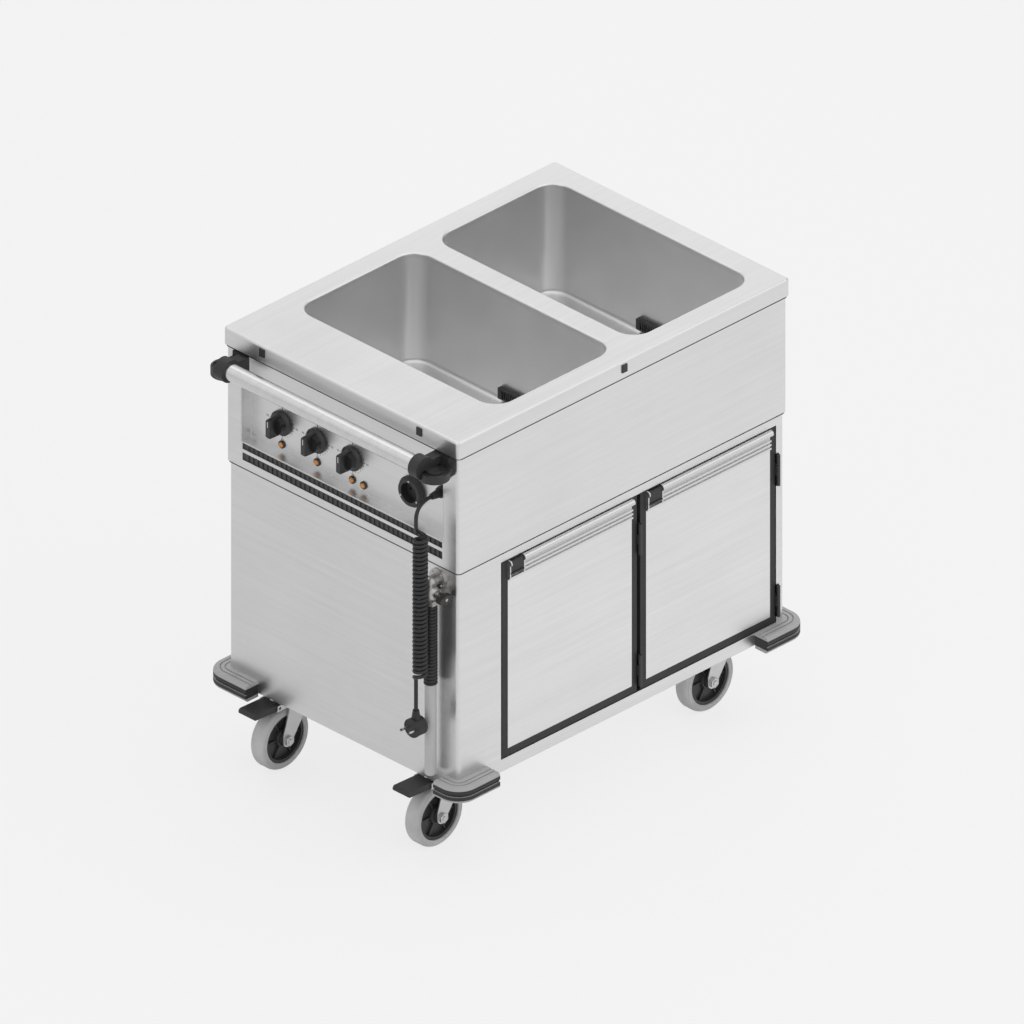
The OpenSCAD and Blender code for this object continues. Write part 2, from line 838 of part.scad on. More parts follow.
// Deck between the wells and the compartments, with a hole for the drain
module service_deck() {
    deck_l = casing_l - 2 * casing_r;
    deck_w = casing_w - 2 * casing_r;
    color("silver") placed() difference() {
        translate([0, 0, deck_z + sheet / 2]) cube([deck_l, deck_w, sheet], center = true);
        translate([manifold_x, drain_y, deck_z - over])
            cylinder(d = pipe_d + 4 * sheet, h = sheet + 2 * over);
    }
}

// Face frame behind the doors, with the two compartment mouths
module face_frame() {
    color("silver") placed() difference() {
        box(
            [-inner_l / 2 + sheet, frame_y, body_z + sheet],
            [inner_l / 2 - sheet, frame_y + frame_t, casing_z - sheet]
        );
        for (i = [0, 1])
            translate([bay_x(i) - bay_w / 2, frame_y - over, mouth_z])
                cube([bay_w, frame_t + 2 * over, mouth_h]);
    }
}

// Base tray: the floor of the trolley, with folded sides
module base_tray() {
    tray_h = rail_h - 2 * sheet;
    tray_l = inner_l - 2 * casing_r;
    tray_w = inner_w - 2 * casing_r;
    color("silver") placed() difference() {
        union() {
            box([-inner_l / 2, -tray_w / 2, body_z], [inner_l / 2, tray_w / 2, body_z + sheet]);
            box([-tray_l / 2, -inner_w / 2, body_z], [tray_l / 2, inner_w / 2, body_z + sheet]);
            for (s = [-1, 1]) {
                translate([s * (inner_l - sheet) / 2, 0, body_z + tray_h / 2])
                    cube([sheet, tray_w, tray_h], center = true);
                translate([0, s * (inner_w - sheet) / 2, body_z + tray_h / 2])
                    cube([tray_l, sheet, tray_h], center = true);
            }
        }
        for (sx = [-1, 1], sy = [-1, 1])
            translate([sx * castor_x, sy * castor_y, body_z - over])
                cylinder(d = king_d, h = sheet + 2 * over);
    }
}

// Liners: the five-walled inside of each compartment
module liner(i) {
    color("silver") placed() difference() {
        translate([bay_x(i) - bay_w / 2 - liner_t, frame_y + frame_t, mouth_z - liner_t])
            cube([bay_w + 2 * liner_t, bay_d + liner_t, mouth_h + 2 * liner_t]);
        translate([bay_x(i) - bay_w / 2, frame_y, mouth_z]) cube([bay_w, bay_d + frame_t, mouth_h]);
    }
}

module cupboard_liner_1() {
    liner(0);
}

module cupboard_liner_2() {
    liner(1);
}

// Tray rails: angle rails on two uprights at both sides of each compartment
module tray_rails() {
    upright_w = 18;
    end_room = 60;
    head_room = 40;
    rail_l = bay_d - 3 * upright_w - end_room;
    rail_t = 1.5;
    rail_side = 14;
    upright_h = mouth_h - head_room;
    step = upright_h / (rail_n + 1);
    color("silver") placed() for (i = [0, 1], side = [-1, 1])
        translate([bay_x(i) + side * bay_w / 2, frame_y + frame_t + upright_w, mouth_z])
            mirror([side > 0 ? 1 : 0, 0, 0]) {
                for (end = [0, 1])
                    translate([0, end * (rail_l - upright_w), 0]) cube([rail_t, upright_w, upright_h]);
                for (k = [1 : rail_n])
                    translate([0, 0, k * step]) {
                        translate([rail_t, 0, 0]) cube([rail_t, rail_l, rail_side]);
                        translate([rail_t, 0, 0]) cube([rail_w, rail_l, rail_t]);
                    }
            }
}

// Drain manifold: an elbow down beside each well, a run to the control end and a drop to the tap
module drain_manifold() {
    stub_l = 16;
    stub_x = tank_half + well_t;
    drop_x = stub_x + stub_l;
    run_z = (deck_z + sheet + well_floor_z - well_t - pad_t) / 2;
    joint_d = pipe_d + 2 * pipe_t;
    color("silver") placed() difference() {
        union() {
            for (i = [0, 1]) {
                translate([bay_x(i) + stub_x, 0, drain_z]) along_x(pipe_d, stub_l);
                translate([bay_x(i) + drop_x, 0, run_z]) cylinder(d = pipe_d, h = drain_z - run_z);
                for (z = [run_z, drain_z]) translate([bay_x(i) + drop_x, 0, z]) sphere(d = joint_d);
            }
            translate([manifold_x, 0, run_z]) along_x(pipe_d, bay_x(1) + drop_x - manifold_x);
            translate([manifold_x, drain_y, run_z]) along_y(pipe_d, -drain_y);
            translate([manifold_x, drain_y, outlet_z]) cylinder(d = pipe_d, h = run_z - outlet_z);
            translate([body_end + sheet, drain_y, outlet_z]) along_x(pipe_d, manifold_in - sheet);
            for (at = [
                [manifold_x, 0, run_z], [manifold_x, drain_y, run_z], [manifold_x, drain_y, outlet_z]
            ]) translate(at) sphere(d = joint_d);
        }
        for (i = [0, 1])
            translate([bay_x(i) + stub_x - over, 0, drain_z]) along_x(bore_d, stub_l + over);
        translate([body_end, drain_y, outlet_z]) along_x(bore_d, manifold_in);
    }
}

// Drain tap: a flanged elbow out of the casing and a ball valve in the drop
module drain_tap() {
    flange_d = 40;
    flange_t = 4;
    ball_d = 34;
    nut_d = 30;
    nut_h = 10;
    boss_d = 16;
    boss_l = 24;
    stem_d = 6;
    color("silver") placed() {
        translate([body_end - flange_t, drain_y, outlet_z]) along_x(flange_d, flange_t);
        translate([drain_x, drain_y, outlet_z]) along_x(pipe_d, drain_out);
        translate([drain_x, drain_y, outlet_z]) sphere(d = pipe_d + pipe_t);
        translate([drain_x, drain_y, sleeve_top]) cylinder(d = pipe_d, h = outlet_z - sleeve_top);
        translate([drain_x, drain_y, tap_z]) sphere(d = ball_d);
        translate([drain_x, drain_y, sleeve_top]) cylinder(d = nut_d, h = nut_h, $fn = nut_sides);
        translate([drain_x, drain_y - boss_l, tap_z]) along_y(boss_d, boss_l);
        translate([drain_x, drain_y - lever_out - lever_t, tap_z]) along_y(stem_d, lever_out + lever_t);
    }
}

// Tap lever: a short wing handle on the valve's stem
module tap_lever() {
    wing_l = 34;
    wing_h = 13;
    hub_r = 9;
    color("firebrick") placed() translate([drain_x, drain_y - lever_out, tap_z]) rotate([quarter, 0, 0])
        difference() {
            linear_extrude(lever_t) {
                square([wing_l - wing_h, wing_h], center = true);
                for (s = [-1, 1]) translate([s * (wing_l - wing_h) / 2, 0]) circle(d = wing_h);
                circle(hub_r);
            }
            translate([0, 0, -over]) cylinder(d = lever_stem_d + 2 * run_fit, h = lever_t + 2 * over);
        }
}

// Downpipe: a ribbed connector over a straight pipe that ends above the bumper
module drain_downpipe() {
    root_r = pipe_d / 2;
    rib_r = root_r + rib_out;
    color("dimgray") placed() translate([drain_x, drain_y, 0]) rotate_extrude() polygon(concat(
        [[root_r - pipe_t, drain_end_z], [root_r - pipe_t / 2, drain_end_z], [root_r, drain_end_z + pipe_t]],
        [for (k = [0 : rib_n - 1], p = rib_shares)
            [root_r + p[0] * (rib_r - root_r), sleeve_end + (k + p[1]) * rib_pitch]],
        [[root_r, sleeve_top], [root_r - pipe_t, sleeve_top]]
    ));
}

// Corner bumpers: a moulded corner carried round the casing. One leg stops short of the downpipe.
module corner_bumpers() {
    drain_leg = drain_y - body_front - pipe_d / 2 - hose_room;
    for (sx = [0, 1], sy = [0, 1])
        color("dimgray") placed() mirror([sx, 0, 0]) mirror([0, sy, 0])
            translate([body_l / 2 - casing_r, body_w / 2 - casing_r, bumper_z]) {
                rotate_extrude(angle = quarter) bumper_profile();
                rotate([quarter, 0, 0])
                    linear_extrude((sx * sy > 0 ? drain_leg : bumper_leg) - casing_r) bumper_profile();
                rotate([0, 0, quarter]) rotate([quarter, 0, 0]) translate([0, 0, -bumper_leg + casing_r])
                    linear_extrude(bumper_leg - casing_r) bumper_profile();
            }
}

module bumper_profile() {
    edge_r = 7;
    groove_w = 5;
    groove_h = 3;
    difference() {
        translate([casing_r, bumper_h / 2]) intersection() {
            translate([-edge_r * 2, 0]) rounded_rect(2 * (bumper_out + edge_r * 2), bumper_h, edge_r);
            translate([0, -bumper_h]) square([bumper_out + over, 2 * bumper_h]);
        }
        for (k = [1, 2])
            translate([casing_r + k * (bumper_out - groove_w) / 3, bumper_h - groove_h])
                square([groove_w / 2, groove_h + over]);
        translate([casing_r + bumper_out - groove_h, (bumper_h - groove_w) / 2])
            square([groove_h + over, groove_w]);
    }
}

// Hinge leaves on the face frame: two knuckles on a pin that the door's knuckle turns on
module hinge_leaves() {
    color("dimgray") placed() for (i = [0, 1], z = [hinge_z_low, hinge_z_high])
        translate([bay_x(i) + hinge_x, hinge_y, z]) {
            knuckle_l = hinge_h / 3;
            for (end = [0, 1])
                translate([0, 0, end * 2 * knuckle_l]) cylinder(d = knuckle_d, h = knuckle_l);
            cylinder(d = hinge_pin_d, h = hinge_h);
            for (end = [0, 1])
                box(
                    [knuckle_d / 2 - leaf_t, 0, end * 2 * knuckle_l],
                    [knuckle_d / 2, frame_y - hinge_y, end * 2 * knuckle_l + knuckle_l]
                );
            box(
                [knuckle_d / 2 - leaf_t, frame_y - hinge_y - leaf_t, 0],
                [knuckle_d / 2, frame_y - hinge_y, hinge_h]
            );
        }
}

// Castor plates: the bolted plate, the upper race and the kingpin of each castor
module castor_plates() {
    plate_l = 105;
    plate_w = 85;
    plate_r = 8;
    bolt_x = 80;
    bolt_y = 60;
    bolt_d = 13;
    bolt_h = 5;
    king_nut_t = 3;
    color("silver") placed() for (sx = [-1, 1], sy = [-1, 1])
        translate([sx * castor_x, sy * castor_y, 0]) {
            translate([0, 0, body_z - plate_t]) rounded_slab(plate_l, plate_w, plate_t, plate_r);
            translate([0, 0, crown_z + crown_h + gap]) cylinder(d = race_d, h = race_h);
            translate([0, 0, crown_z]) cylinder(d = king_d - 2 * run_fit, h = crown_h + gap + over);
            translate([0, 0, crown_z - plate_t]) cylinder(d = king_d + 2 * king_nut_t, h = plate_t - gap);
            translate([0, 0, crown_z - plate_t]) cylinder(d = king_d - 2 * run_fit, h = plate_t);
            for (bx = [-1, 1], by = [-1, 1])
                translate([bx * bolt_x / 2, by * bolt_y / 2, body_z - plate_t - bolt_h])
                    cylinder(d = bolt_d, h = bolt_h, $fn = nut_sides);
        }
}

// Where castor n stands: 1 and 2 at the control end, odd numbers on the door side
function castor_at(n) = [n < 3 ? -castor_x : castor_x, n % 2 == 1 ? -castor_y : castor_y, 0];

// Fork: a pressed crown with two legs and the axle between them
module fork(n) {
    leg_w = 26;
    crown_d = 66;
    bridge_w = fork_gap + 2 * fork_t;
    ear_l = pedal_pin_d * 2;
    braked = n < 3;
    color("silver") placed() translate(castor_at(n)) {
        difference() {
            translate([0, 0, crown_z]) cylinder(d = crown_d, h = crown_h);
            translate([0, 0, crown_z - over]) cylinder(d = king_d, h = crown_h + 2 * over);
        }
        for (s = [-1, 1])
            translate([0, s * (fork_gap + fork_t) / 2 + fork_t / 2, 0]) rotate([quarter, 0, 0])
                linear_extrude(fork_t) fork_leg(leg_w, crown_d);
        translate([-trail, -bridge_w / 2, wheel_r]) along_y(axle_d, bridge_w);
        for (s = [-1, 1])
            translate([-trail, s * (bridge_w / 2 + fork_t / 2) - fork_t, wheel_r])
                along_y(axle_d * 3 / 2, 2 * fork_t);
        if (braked) for (s = [-1, 1])
            translate([pedal_x, s * (pedal_w / 2 + fork_t / 2 + gap) - fork_t / 2, crown_z])
                pedal_ear(ear_l);
    }
}

// A cheek for the pedal's pin, reaching back to the crown
module pedal_ear(l) {
    difference() {
        box([-l / 2, 0, 0], [-pedal_x - crown_reach, fork_t, crown_h]);
        translate([0, -over, crown_h / 2]) along_y(pedal_pin_d + 2 * run_fit, fork_t + 2 * over);
    }
}

// The side view of a fork's leg, from the crown down to the axle
module fork_leg(leg_w, crown_d) {
    polygon([
        [-crown_d / 2 + fork_t, crown_z + crown_h / 2], [crown_d / 3, crown_z + crown_h / 2],
        [crown_d / 3, crown_z], [-trail + leg_w / 2, wheel_r], [-trail - leg_w / 2, wheel_r],
        [-trail - leg_w / 2, wheel_r + leg_w / 2]
    ]);
    translate([-trail, wheel_r]) circle(d = leg_w);
}

// Hub: a dished disc on a long boss
module hub(n) {
    rim_inset = 3;
    boss_gap = 1;
    rim_w = tyre_w - 2 * rim_inset;
    web_w = rim_w / 3;
    boss_w = fork_gap - 2 * boss_gap;
    boss_r = axle_d;
    rim_t = 6;
    color("dimgray") placed() translate(castor_at(n)) translate([-trail, 0, wheel_r]) rotate([quarter, 0, 0])
        rotate_extrude() polygon([
            [axle_d / 2 + run_fit, -boss_w / 2], [boss_r, -boss_w / 2], [boss_r + rim_t / 2, -web_w / 2],
            [hub_d / 2 - rim_t, -web_w / 2], [hub_d / 2 - rim_t, -rim_w / 2], [hub_d / 2, -rim_w / 2],
            [hub_d / 2, rim_w / 2], [hub_d / 2 - rim_t, rim_w / 2], [hub_d / 2 - rim_t, web_w / 2],
            [boss_r + rim_t / 2, web_w / 2], [boss_r, boss_w / 2], [axle_d / 2 + run_fit, boss_w / 2]
        ]);
}

// Tyre: a ring with a rounded tread
module tyre(n) {
    tread_r = 8;
    color("lightgray") placed() translate(castor_at(n)) translate([-trail, 0, wheel_r])
        rotate([quarter, 0, 0]) rotate_extrude() for (side = [0, 1]) mirror([0, side])
            translate([hub_d / 2, 0]) bent_block(wheel_r - hub_d / 2, tyre_w / 2, tread_r);
}

module castor_1_fork() { fork(1); }
module castor_2_fork() { fork(2); }
module castor_3_fork() { fork(3); }
module castor_4_fork() { fork(4); }
module castor_1_hub() { hub(1); }
module castor_2_hub() { hub(2); }
module castor_3_hub() { hub(3); }
module castor_4_hub() { hub(4); }
module castor_1_tyre() { tyre(1); }
module castor_2_tyre() { tyre(2); }
module castor_3_tyre() { tyre(3); }
module castor_4_tyre() { tyre(4); }

// Brake pedal: a tread plate on a cross pin
module pedal(n) {
    tip = pedal_reach + pedal_x;
    nose = pedal_h / 2;
    tip_rise = 2;
    color("dimgray") placed() translate(castor_at(n)) translate([pedal_x, 0, pedal_z]) {
        rotate([quarter, 0, 0]) translate([0, 0, -pedal_w / 2]) linear_extrude(pedal_w) {
            circle(nose);
            polygon([[0, -nose], [0, nose], [-tip + nose, nose + tip_rise], [-tip + nose, -nose / 2]]);
            translate([-tip + nose, nose / 4 + tip_rise / 2]) circle(nose * 3 / 4 + tip_rise / 2);
        }
        translate([0, -pedal_w / 2 - fork_t, 0]) along_y(pedal_pin_d, pedal_w + 2 * fork_t);
    }
}

module brake_pedal_1() {
    pedal(1);
}

module brake_pedal_2() {
    pedal(2);
}

// Door panel: an outer leaf and the pan that closes the compartment's mouth, both hollow sheet
module door_panel(i) {
    back_y = face_y + door_t;
    grip_y = face_y + door_t / 2;
    grip_z = door_top - grip_h;
    color("gainsboro") placed() translate([bay_x(i), 0, 0]) difference() {
        union() {
            box([-panel_w / 2, face_y, door_z + seal_h], [panel_w / 2, back_y, grip_z]);
            box([-panel_w / 2, grip_y, grip_z - over], [panel_w / 2, back_y, door_top]);
            box([-pan_w / 2, back_y, pan_z], [pan_w / 2, back_y + pan_t, pan_z + pan_h]);
        }
        box(
            [-panel_w / 2 + sheet, face_y + sheet, door_z + seal_h + sheet],
            [panel_w / 2 - sheet, back_y - sheet, grip_z - sheet]
        );
        box(
            [-pan_w / 2 + sheet + pan_side_gap, back_y - sheet - over, pan_z + seal_h],
            [pan_w / 2 - sheet - pan_side_gap, back_y + pan_t - sheet, grip_z - sheet]
        );
        translate([0, face_y + door_t / 2, door_z + seal_h - over])
            cylinder(d = filling_d, h = sheet + 2 * over);
    }
}

// Door seal: a dark channel down both sides and along the bottom, with a lip at the back
module door_seal(i) {
    lip_w = 9;
    color("dimgray") placed() translate([bay_x(i), 0, 0]) {
        difference() {
            box([-door_w / 2, face_y + seal_in, door_z], [door_w / 2, face_y + door_t, door_top]);
            box(
                [-panel_w / 2, face_y - over, door_z + seal_h],
                [panel_w / 2, face_y + door_t + over, door_top + over]
            );
        }
        difference() {
            box(
                [-door_w / 2, face_y + door_t, door_z],
                [door_w / 2, face_y + door_t + seal_gap - gap, door_top]
            );
            box(
                [-door_w / 2 + lip_w, face_y + door_t - over, door_z + lip_w],
                [door_w / 2 - lip_w, frame_y, door_top - lip_w]
            );
        }
    }
}

// Grip: an extruded strip with a nosed pull along its top and three ribs below
module door_grip(i) {
    pocket_l = latch_w + 2 * gap;
    latch_x = -panel_w / 2 + cheek_t;
    color("silver") placed() translate([bay_x(i), face_y, door_top - grip_h]) difference() {
        union() {
            translate([-panel_w / 2, 0, 0]) rotate([quarter, 0, quarter]) linear_extrude(panel_w)
                grip_profile();
            box([-panel_w / 2, -latch_t, latch_low], [latch_x + pocket_l + cheek_t, latch_back, grip_h]);
        }
        box([latch_x, -grip_out - over, latch_low], [latch_x + pocket_l, latch_back, grip_h + over]);
        translate([latch_x - cheek_t - over, latch_pin_y, latch_pin_z])
            along_x(latch_pin_d + 2 * run_fit, pocket_l + 2 * cheek_t + 2 * over);
    }
}

module grip_profile() {
    base_t = door_t / 2;
    nose_h = 12;
    rib_h = 4;
    rib_out = grip_out * 2 / 5;
    square([base_t, grip_h]);
    translate([-grip_out + nose_h / 2, grip_h - nose_h]) square([grip_out - nose_h / 2 + over, nose_h]);
    translate([-grip_out + nose_h / 2, grip_h - nose_h / 2]) circle(d = nose_h);
    for (k = [0 : 2])
        translate([-rib_out, rib_h / 2 + 2 * k * rib_h]) square([rib_out + over, rib_h]);
}

// Latch: a finger paddle in the grip's pocket, hung on a pin along its top
module door_latch(i) {
    bottom = latch_low + finger_gap;
    toe = 2;
    color("dimgray") placed()
        translate([bay_x(i) - panel_w / 2 + cheek_t + gap, face_y, door_top - grip_h]) {
            rotate([quarter, 0, quarter]) linear_extrude(latch_w) {
                translate([latch_pin_y, latch_pin_z]) circle(latch_barrel_r);
                translate([latch_pin_y - latch_barrel_r, bottom])
                    square([latch_paddle_t, latch_pin_z - bottom]);
                translate([latch_pin_y - latch_barrel_r - toe, bottom])
                    square([latch_paddle_t, latch_barrel_r]);
            }
            translate([-cheek_t, latch_pin_y, latch_pin_z]) along_x(latch_pin_d, latch_w + 2 * cheek_t);
        }
}

// Door hinges: the middle knuckle of each hinge on a leaf along the door's edge
module door_hinges(i) {
    knuckle_l = hinge_h / 3 - 2 * gap;
    color("dimgray") placed() for (z = [hinge_z_low, hinge_z_high])
        translate([bay_x(i) + hinge_x, hinge_y, z + hinge_h / 3 + gap]) difference() {
            union() {
                cylinder(d = knuckle_d, h = knuckle_l);
                box([-hinge_out, 0, 0], [-hinge_out + leaf_t, door_t + knuckle_d / 2, knuckle_l]);
                box([-hinge_out, knuckle_d / 2 - leaf_t, 0], [0, knuckle_d / 2, knuckle_l]);
            }
            translate([0, 0, -over]) cylinder(d = hinge_pin_d + 2 * run_fit, h = knuckle_l + 2 * over);
        }
}

module door_1_panel() { door_panel(0); }
module door_1_seal() { door_seal(0); }
module door_1_grip() { door_grip(0); }
module door_1_hinges() { door_hinges(0); }
module door_1_latch() { door_latch(0); }
module door_2_panel() { door_panel(1); }
module door_2_seal() { door_seal(1); }
module door_2_grip() { door_grip(1); }
module door_2_hinges() { door_hinges(1); }
module door_2_latch() { door_latch(1); }

function unit(v) = v / norm(v);

// Rings of a tube along a path: each ring stands square to the path, turned as little as may be
function ring(at, along, r, sides, side_hint) =
    let (side = unit(side_hint - (side_hint * along) * along), up = cross(along, side))
    [for (k = [0 : sides - 1]) at + r * (cos(360 * k / sides) * side + sin(360 * k / sides) * up)];

function tangents(path) = [for (i = [0 : len(path) - 1])
    unit(path[min(i + 1, len(path) - 1)] - path[max(i - 1, 0)])];

// A closed tube from rings of the same number of points
module skin_tube(rings) {
    sides = len(rings[0]);
    n = len(rings);
    points = [for (r = rings) each r];
    polyhedron(points, concat(
        [for (k = [1 : sides - 2]) [0, k, k + 1]],
        [for (i = [0 : n - 2], k = [0 : sides - 1], t = [0, 1])
            let (a = i * sides + k, b = i * sides + (k + 1) % sides)
            t == 0 ? [a, a + sides, b] : [b, a + sides, b + sides]],
        [for (k = [1 : sides - 2]) [(n - 1) * sides, (n - 1) * sides + k + 1, (n - 1) * sides + k]]
    ));
}

module tube_along(path, ends) {
    dirs = tangents(path);
    last = len(path) - 1;
    color("dimgray") skin_tube([for (i = [0 : last])
        ring(path[i], i == 0 ? ends[0] : i == last ? ends[1] : dirs[i], lead_r, lead_sides, [0, 1, 0])]);
}

module lead_upper() {
    tube_along(lead_path_upper, [[-1, 0, 0], [0, 0, -1]]);
}

module lead_lower() {
    tube_along(lead_path_lower, [[0, 0, -1], [0, 0, -1]]);
}

// The curly part: one helix. At both ends it eases from the lead's upright line into the curls.
curl_top = lead_path_upper[len(lead_path_upper) - 1];
curl_end = lead_path_lower[0];
curl_rings = 8;
curl_sides = 6;
curl_r = (coil_d - lead_d) / 2;
ease_drop = 12;
curl_pitch = (curl_top[2] - curl_end[2] - 2 * lead_d - 2 * ease_drop) / curls;
curl_axis = curl_top - [0, curl_r, 0];

function eased(t) = t < 1 ? 2 * t - t * t : 1;

function curl_angle(t) =
    let (left = curls - t)
    t < 1 ? half_turn * t * t
    : left < 1 ? 2 * half_turn * (curls - 1) - half_turn * left * left
    : half_turn + 2 * half_turn * (t - 1);

function curl_point(t) = [
    curl_axis[0] + curl_r * sin(curl_angle(t)),
    curl_axis[1] + curl_r * cos(curl_angle(t)),
    curl_top[2] - lead_d - curl_pitch * t - ease_drop * (1 + eased(t) - eased(curls - t))
];

coil_path = concat(
    [curl_top],
    [for (i = [0 : curls * curl_rings]) curl_point(i / curl_rings)],
    [curl_end]
);
coil_last = len(coil_path) - 1;
coil_dirs = tangents(coil_path);
down = [0, 0, -1];

// The least gap between one curl and the next, from the middles of the rings less the lead itself
coil_gap = min([for (i = [0 : coil_last - curl_rings - 2], k = [curl_rings - 2 : curl_rings + 2])
    norm(coil_path[i] - coil_path[i + k])]) - lead_d;
echo(coil_gap = coil_gap);

module lead_coil() {
    color("dimgray") skin_tube([for (i = [0 : coil_last])
        let (at = coil_path[i], end = i < 2 || i > coil_last - 2)
        let (out = [at[0] - curl_axis[0], at[1] - curl_axis[1], 0])
        ring(at, end ? down : coil_dirs[i], lead_r, curl_sides, out)]);
}

// Plug: a moulded right-angle plug with two pins and a strain relief over the lead
module mains_plug() {
    at = lead_path_lower[len(lead_path_lower) - 1];
    body_d = 37;
    body_h = 22;
    neck_top_d = 12;
    neck_root_d = 18;
    neck_l = 20;
    body_lap = 4;
    pin_l = 19;
    pin_d = 4.8;
    color("dimgray") translate(at) {
        mirror([0, 0, 1]) cylinder(d1 = neck_top_d, d2 = neck_root_d, h = neck_l);
        translate([-body_h / 2, 0, -neck_l - body_d / 2 + body_lap]) along_x(body_d, body_h);
        for (s = [-1, 1])
            translate([-body_h / 2 - pin_l, s * pin_spread / 2, -neck_l - body_d / 2 + body_lap])
                along_x(pin_d, pin_l + over);
    }
}

worktop();
control_end_well();
far_end_well();
upper_casing();
control_panel();
vent_louvres();
lower_casing();
service_deck();
face_frame();
base_tray();
cupboard_liner_1();
cupboard_liner_2();
tray_rails();
heaters();
drain_manifold();
drain_strainers();
drain_tap();
drain_downpipe();
thermostats();
pilot_lamps();
parking_socket();
cable_gland();
handle_bar();
handle_brackets();
fascia_plugs();
corner_bumpers();
castor_plates();
hinge_leaves();
knob_1();
knob_2();
knob_3();
tap_lever();
door_1_panel();
door_1_seal();
door_1_grip();
door_1_hinges();
door_1_latch();
door_2_panel();
door_2_seal();
door_2_grip();
door_2_hinges();
door_2_latch();
castor_1_fork();
castor_1_hub();
castor_1_tyre();
castor_2_fork();
castor_2_hub();
castor_2_tyre();
castor_3_fork();
castor_3_hub();
castor_3_tyre();
castor_4_fork();
castor_4_hub();
castor_4_tyre();
brake_pedal_1();
brake_pedal_2();
lead_upper();
lead_coil();
lead_lower();
mains_plug();
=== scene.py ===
# Bain marie hot cupboard: its finishes, its curly lead and its small fittings.
# Metres, in the part's own frame: +X runs to the far end, -Y is the door side, the floor is z = 0.
import json
import math

import bmesh
import bpy
from mathutils import Matrix, Vector


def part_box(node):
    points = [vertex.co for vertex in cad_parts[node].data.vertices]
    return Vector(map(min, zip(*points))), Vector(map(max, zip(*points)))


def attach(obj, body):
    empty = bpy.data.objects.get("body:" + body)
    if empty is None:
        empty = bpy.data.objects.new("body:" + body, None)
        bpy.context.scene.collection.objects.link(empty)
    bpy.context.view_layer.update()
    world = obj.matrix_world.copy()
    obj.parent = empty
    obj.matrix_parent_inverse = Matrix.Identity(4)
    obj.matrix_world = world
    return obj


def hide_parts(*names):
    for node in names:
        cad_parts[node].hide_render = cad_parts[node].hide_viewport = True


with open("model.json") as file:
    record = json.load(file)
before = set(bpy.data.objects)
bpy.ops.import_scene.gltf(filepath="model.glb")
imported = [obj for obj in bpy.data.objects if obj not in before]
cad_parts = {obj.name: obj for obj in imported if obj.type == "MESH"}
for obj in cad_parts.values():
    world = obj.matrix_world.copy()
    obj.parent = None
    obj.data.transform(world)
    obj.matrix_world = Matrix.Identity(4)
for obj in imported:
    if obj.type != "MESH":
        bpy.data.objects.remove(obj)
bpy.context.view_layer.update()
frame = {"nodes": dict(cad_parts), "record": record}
nodes = frame["nodes"]
MM = 0.001
QUARTER = math.pi / 2
Y_AXIS, Z_AXIS = Vector((0, 1, 0)), Vector((0, 0, 1))

# Camera: the drawing's corner view, without perspective
VIEW_AZIMUTH = math.radians(-45)
VIEW_ELEVATION = math.radians(30)
VIEW_WIDTH = 1.87
VIEW_DISTANCE = 6.0
VIEW_REACH = 100
VIEW_CENTRE = Vector((0.035, 0.0, 0.452))


def add_camera():
    data = bpy.data.cameras.new("view")
    camera = bpy.data.objects.new("view", data)
    bpy.context.scene.collection.objects.link(camera)
    back = Vector((
        math.sin(VIEW_AZIMUTH) * math.cos(VIEW_ELEVATION),
        -math.cos(VIEW_AZIMUTH) * math.cos(VIEW_ELEVATION),
        math.sin(VIEW_ELEVATION),
    ))
    data.type = "ORTHO"
    data.ortho_scale = VIEW_WIDTH
    data.clip_end = VIEW_REACH
    camera.location = VIEW_CENTRE + back * VIEW_DISTANCE
    camera.rotation_mode = "QUATERNION"
    camera.rotation_quaternion = (-back).to_track_quat("-Z", "Y")
    bpy.context.scene.camera = camera


# Shader helpers


def node_of(tree, kind, inputs=None, **settings):
    made = tree.nodes.new(kind)
    for key, value in settings.items():
        setattr(made, key, value)
    for key, value in (inputs or {}).items():
        if isinstance(value, bpy.types.NodeSocket):
            tree.links.new(value, made.inputs[key])
        else:
            made.inputs[key].default_value = value
    return made


def calc(tree, operation, *terms):
    """The result of one Math node."""
    return node_of(tree, "ShaderNodeMath", dict(enumerate(terms)), operation=operation).outputs[0]


def parts_of(tree, vector):
    """The X, Y and Z of a vector, as a node's outputs."""
    return node_of(tree, "ShaderNodeSeparateXYZ", {"Vector": vector}).outputs


def new_material(name, inputs):
    made = bpy.data.materials.new(name)
    made.use_nodes = True
    shader = made.node_tree.nodes["Principled BSDF"]
    for key, value in inputs.items():
        shader.inputs[key].default_value = value
    return made, made.node_tree, shader


def noise_at(tree, size, detail=2.0, roughness=0.55, scale=(1, 1, 1)):
    """A noise on Object coordinates, stretched by scale along each axis."""
    coords = node_of(tree, "ShaderNodeTexCoord")
    place = node_of(tree, "ShaderNodeMapping", {"Vector": coords.outputs["Object"], "Scale": scale})
    return node_of(tree, "ShaderNodeTexNoise", {
        "Vector": place.outputs["Vector"], "Scale": size, "Detail": detail, "Roughness": roughness,
    }).outputs["Fac"]


def spread(tree, value, low, high, start, end):
    """Maps a value from start..end to low..high."""
    return node_of(tree, "ShaderNodeMapRange", {
        "Value": value, "From Min": start, "From Max": end, "To Min": low, "To Max": high,
    }).outputs["Result"]


def blend_values(tree, share, a, b):
    made = node_of(tree, "ShaderNodeMix", {0: share, 2: a, 3: b}, data_type="FLOAT")
    return made.outputs[0]


def blend_colours(tree, share, a, b):
    made = node_of(tree, "ShaderNodeMix", {0: share, 6: a, 7: b}, data_type="RGBA")
    return made.outputs[2]


def paint(tree, shader, colour, rough):
    tree.links.new(colour, shader.inputs["Base Color"])
    tree.links.new(rough, shader.inputs["Roughness"])


